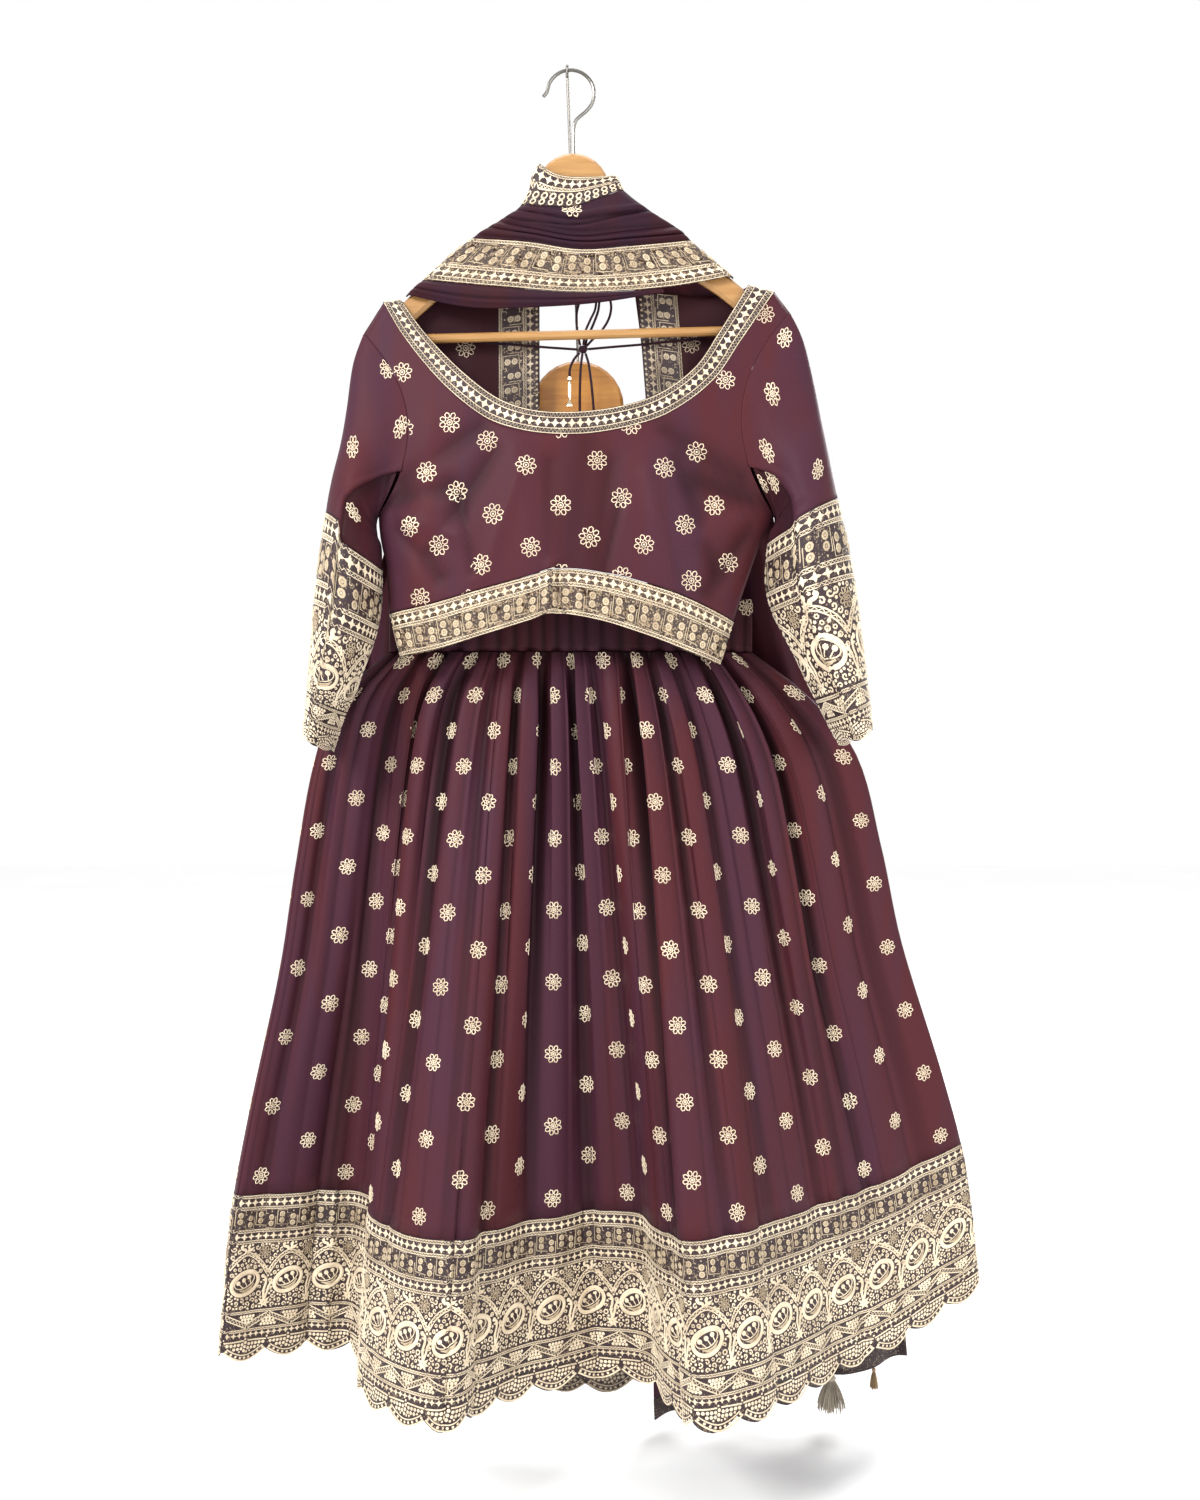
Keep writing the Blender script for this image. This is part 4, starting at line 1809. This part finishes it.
def dupatta_stretch(upper, lower, bulge, taper, folds):
    """A stretch of the scarf between two lines; taper below 1 lets it run out to a point."""
    top_line = line_through(list(zip(upper[1], upper[2])))
    bottom = line_through(list(zip(lower[1], lower[2])))

    def surface(u, v):
        u, v = np.broadcast_arrays(np.asarray(u, float), np.asarray(v, float))
        (ax, az), (bx, bz) = top_line(u * taper), bottom(u)
        x, z = lerp(ax, bx, v), lerp(az, bz, v)

        def end(share):
            ends = top_line(share * taper), bottom(share)
            end_x = lerp(ends[0][0], ends[1][0], v)
            return end_x, over_arm(end_x) - lerp(ends[0][1], ends[1][1], v)

        left_end, left_rise = end(0.0)
        right_end, right_rise = (np.full_like(u, np.inf), 0.0) if taper < 1 else end(1.0)
        z = z + left_rise * (1 - u) ** 6 + right_rise * u**6
        fullness = np.sqrt(np.clip(1 - u * (taper < 1), 0, 1))
        swell = lerp(upper[0], lower[0], v) + bulge * np.sin(PI * v) * fullness
        for centre, slant, width, depth in folds:
            at = v - centre - slant * (u - 0.5)
            swell = swell + depth * np.exp(-((at / width) ** 2)) * np.sin(PI * np.clip(v, 0, 1)) * fullness
        turned = rounded_off(np.minimum(x - left_end, right_end - x), 10)
        return stacked(x, -lerp(1.25, swell, turned), z)

    return surface


# Stretches of the scarf: how far each bulges, its thickness and taper, and the middle, slant, width and
# height of its folds.
STRETCHES = [
    ("top_border", 1.0, LACE, 1.0, ()),
    ("upper_fold", 4.0, CLOTH, 1.0, (
        (0.28, 0.35, 0.07, 2.6), (0.42, 0.3, 0.05, -2.8), (0.62, -0.3, 0.05, -3.0),
        (0.7, -0.2, 0.05, 2.4), (0.84, 0.2, 0.05, -2.2),
    )),
    ("lower_fold", 5.0, CLOTH, 1.0, (
        (0.3, 0.25, 0.09, 2.4), (0.5, 0.2, 0.06, -3.0), (0.72, 0.05, 0.08, 2.2), (0.9, 0.1, 0.06, -2.4),
    )),
    ("border_band", 2.0, LACE, 1.0, ()),
    ("roll", 7.0, CLOTH, 0.77, (
        (0.3, 0.15, 0.1, 1.4), (0.55, -0.1, 0.07, -2.4), (0.78, 0.1, 0.07, 1.6),
    )),
]


def top_border(length):
    """The scarf's narrow border: a cross row between plaited lines over two rows of rings."""
    drawn, _ = border_rows(length, (braid, 0.6, 3.2), (cross_row, 4.2, 8.4, 9.0), (braid, 13.2, 3.0))
    drawn.ring(np.arange(6, length, 9.0), 21.0, 2.8, 1.6)
    drawn.ring(np.arange(6, length, 9.0), 27.0, 2.4, 1.4)
    return drawn


def wide_band(length):
    """The scarf's wide border: paired rings over a cross row."""
    return border_rows(length, (braid, 0.6, 3.8), (key_band, 5.0, 24.0, 34.0, 4.1), (braid, 29.6),
                       (cross_row, 33.4, 7.8), (braid, 41.6, 4.6))


def make_stretch(name, surface, thickness, folds):
    def hollow(u, v):
        deep = sum(depth * np.exp(-(((v - centre - slant * (u - 0.5)) / width) ** 2))
                   for centre, slant, width, depth in folds)
        return 0.6 * np.clip(-deep / 3, 0, 1) + 0 * u

    us = (1 - np.cos(PI * np.linspace(0, 1, 101))) / 2
    cloth = Cloth(lambda u, v: surface(u, trimmed(v, 0.6, 30)), us, 22, thickness, shade=hollow, flip=True)
    ground = {"top_border": GROUND, "border_band": GOLD_GROUND}.get(name, SILK_SCARF)
    made = cloth.make(f"dupatta_{name}_cloth", ground, f"dupatta_{name}")
    pieces, length = [], cloth.length()
    if name == "top_border":
        pieces = [charted("lace_of_top_border", cloth, top_border(length), length, 31.0, CREAM)]
    if name == "border_band":
        pieces = embroidered("band", cloth, wide_band(length), length, 47.0)
    if name == "upper_fold":
        pieces = [scattered("flower_of_dupatta", cloth, FLOWER, [(0.47, 0.1)])]
    declare(cloth)


def make_dupatta():
    for stretch, upper, lower in zip(STRETCHES, DUPATTA_LINES, DUPATTA_LINES[1:]):
        name, bulge, thickness, taper, folds = stretch
        make_stretch(name, dupatta_stretch(upper, lower, bulge, taper, folds), thickness, folds)
    make_tail("left", TAIL_LEFT)
    make_tail("right", TAIL_RIGHT)


TAIL_FOLDS = 3.5  # folds across an end of the scarf


def tail_surface(side, rows):
    """An end of the scarf from the hanger down; its second place counts rows from 0 to last."""
    start, end = TAIL_TOP[side]
    left, right, depth, ripple = columns_of(rows, 4)
    first = len(BEHIND_ARM)
    behind = np.array(BEHIND_ARM, float)
    last = first + len(rows) - 1

    def row_point(k, u):
        j = np.clip(k - first, 0, len(rows) - 1)
        folds = np.sin(2 * PI * TAIL_FOLDS * u + 0.6 * np.sin(5 * u)) + 0.2 * np.sin(43 * u + k)
        x = lerp(left[j, 0], right[j, 0], u)
        z = lerp(left[j, 1], right[j, 1], u)
        i = np.clip(k, 0, first - 1)
        top_x = lerp(start, end, u)
        top = k < first
        y = depth[j] + ripple[j] * folds
        return stacked(np.where(top, top_x, x), np.where(top, behind[i, 1], y),
                       np.where(top, over_arm(top_x) - behind[i, 0], z))

    def surface(u, place):
        u, place = np.broadcast_arrays(np.asarray(u, float), np.asarray(place, float))
        a, b, c, d, t = four_rows(row_point, last, place, u)
        steps = b - a, c - b, d - c
        before, span, after = (np.linalg.norm(step, axis=-1, keepdims=True) for step in steps)
        return hermite(b, c, (c - a) * span / (before + span), (d - b) * span / (after + span), t)

    return surface, last


def make_tail(side, rows):
    surface, last = tail_surface(side, rows)
    end_at = last - 1 - 0.0015
    even = np.linspace(0, end_at, 400)
    lengths = shares_of(surface(np.full(400, 0.5), even))
    marks = np.unique(np.concatenate([np.linspace(k, k + 1, 7) for k in range(last - 1)]))
    marks = np.interp(marks * end_at / (last - 1), even, lengths)
    tail = Cloth(lambda u, v: surface(u, np.interp(v, lengths, even)), 100, marks, CLOTH)
    cloth = tail.make(f"dupatta_end_cloth_{side}", SILK, f"dupatta_tail_{side}")
    places = in_columns(4, tail.depth(), (60.0, 100.0), tail.depth() - 12)
    flowers = scattered(f"flowers_of_tail_{side}", tail, FLOWER, places)
    declare(tail)
    end = Cloth(lambda u, v: surface(u, lerp(last - 1 + 0.012, last, v)), 120, 8, LACE)
    ground = end.make(f"dupatta_edge_{side}", GROUND, f"dupatta_end_{side}")
    length = end.length()
    drawn = narrow_border(length, SCARF_EDGE)
    lace = charted(f"lace_of_edge_{side}", end, drawn, length, SCARF_EDGE, CREAM)
    declare(end)
    if side == "right":
        make_tassel("tassel_large", surface(0.7, float(last)), 44, 19, TASSEL_THREAD, 150, 2)
        make_tassel("tassel_small", surface(0.863, float(last)), 26, 8, TASSEL_GOLD, 60, 1)


def make_tassel(name, held, length, radius, material, threads, lobes):
    """A bunch of threads under a small bound head."""
    rng = np.random.default_rng(3)
    held = np.asarray(held, float).reshape(3) - (0, 0, 0.3)
    width = 0.55
    points, faces = [], []
    for _ in range(threads):
        turn, reach = rng.uniform(0, 2 * PI), math.sqrt(rng.uniform(0, 1))
        lobe = (rng.integers(lobes) - (lobes - 1) / 2) * radius * 0.55
        end = np.array([lobe + radius * 0.62 * reach * math.cos(turn),
                        radius * 0.8 * reach * math.sin(turn),
                        -length * rng.uniform(0.84, 0.99)])
        neck = np.array([end[0] * 0.22, end[1] * 0.22, -0.14 * length])
        belly = np.array([end[0] * 0.9, end[1] * 0.9, -0.5 * length])
        share = np.linspace(0, 1, 7)[:, None]
        line = neck * (1 - share) ** 2 + 2 * belly * share * (1 - share) + end * share**2
        line = np.vstack([[0, 0, -0.3], line]) + held
        n = len(line)
        i = np.arange(n - 1)
        for way in ((width, 0, 0), (0, width, 0)):
            faces.append(np.stack([i, i + 1, n + i + 1, n + i], -1) + 2 * n * len(points))
            points.append(np.vstack([line + way, line - way]))
    bunch = new_mesh(f"{name}_threads", np.vstack(points), np.vstack(faces), material)
    dress(bunch, name)
    head = ball(f"{name}_head", held - (0, 0, 0.1 * length), (0.3 * radius, 0.3 * radius, 0.1 * length),
                material, lambda u, v: 0.06 * np.sin(14 * v), 14, 20)
    dress(head)


# ---------------------------------------------------------------- ribbons and hangers
NOTCH = -305.7 - 107.5 + 0.9  # height of the second hanger's notches
RIBBON, RIBBON_CUT = 7.6, 7.6 * 1.32  # width of a ribbon as it hangs, and of its cut


def make_ribbons():
    """Ribbons over the second hanger's notches and down inside the waistband."""
    line = line_through([
        (-6.6, -597), (-6.6, -560), (-6.5, -500), (-6.6, -440), (-6.6, NOTCH - 3), (-5.4, NOTCH - 0.6),
        (-3.4, NOTCH + 0.8), (0, NOTCH + 0.9), (3.4, NOTCH + 0.8), (5.4, NOTCH - 0.6), (6.6, NOTCH - 3),
        (6.6, -440), (6.5, -500), (6.6, -560), (6.6, -597),
    ])
    for name, side, x in (("ribbon_loops", "left", -132), ("ribbon_loop_right", "right", 148)):
        def surface(u, v, x=x):
            y, z = line(v)
            u = np.broadcast_to(u, np.shape(y))
            return stacked(x + (u - 0.5) * RIBBON, 50 + y + 0.3 * np.sin(PI * u), z)

        ribbon = Cloth(surface, 8, 160, 1.1)
        made = ribbon.make(name, CORD_SILK, f"hanging_loop_{side}")


def paint(node_name, material):
    """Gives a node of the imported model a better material."""
    mesh = frame_object(node_name).data
    mesh.materials.clear()
    mesh.materials.append(material)


for name, finish in (("hook_wire", STEEL), ("skirt_hanger_wire", STEEL), ("hanger_board", PALE_WOOD),
                     ("hanger_bar", PALE_WOOD), ("skirt_hanger_board", BROWN_WOOD), ("tie_bead", GILT)):
    paint(name, finish)


make_ribbons()
make_skirt()
make_blouse()
make_dupatta()


# ---------------------------------------------------------------- stage
def floor():
    data = bpy.data.meshes.new("floor")
    low = cad_box[0][2] - 0.015
    reach = 9.0
    corners = [(-reach, -reach, low), (reach, -reach, low), (reach, reach, low), (-reach, reach, low)]
    data.from_pydata(corners, [], [(0, 1, 2, 3)])
    made = bpy.data.objects.new("floor", data)
    pale, tree, shader = material("pale_floor", 0.9)
    place = object_place(tree)
    tone = noise_of(tree, place, 1.5, (1, 1, 1), 2.0)
    pale_tones = ramp_of(tree, tone, [(0.3, (0.96,) * 3), (0.7, (0.98,) * 3)])
    tree.links.new(pale_tones, shader.inputs["Base Color"])
    data.materials.append(pale)
    bpy.context.collection.objects.link(made)


def light(name, place, power, size):
    """A square lamp aimed at the set's middle."""
    data = bpy.data.lights.new(name, "AREA")
    data.energy, data.size = power, size
    made = bpy.data.objects.new(name, data)
    made.location = place
    made.rotation_euler = (Vector((0, 0, -0.8)) - Vector(place)).to_track_quat("-Z", "Y").to_euler()
    bpy.context.collection.objects.link(made)


floor()
light("key", (-1.9, -2.3, 1.0), 105, 1.0)
light("fill", (2.0, -2.4, -0.2), 34, 1.6)
light("top", (0.0, 0.2, 1.8), 24, 1.6)
light("behind", (1.4, 2.4, 0.6), 60, 1.4)
world = bpy.data.worlds.new("world")
bpy.context.scene.world = world
bpy.context.scene.view_settings.view_transform = "Standard"
world.use_nodes = True
world.node_tree.nodes["Background"].inputs["Color"].default_value = (1, 1, 1, 1)
world.node_tree.nodes["Background"].inputs["Strength"].default_value = 1.0
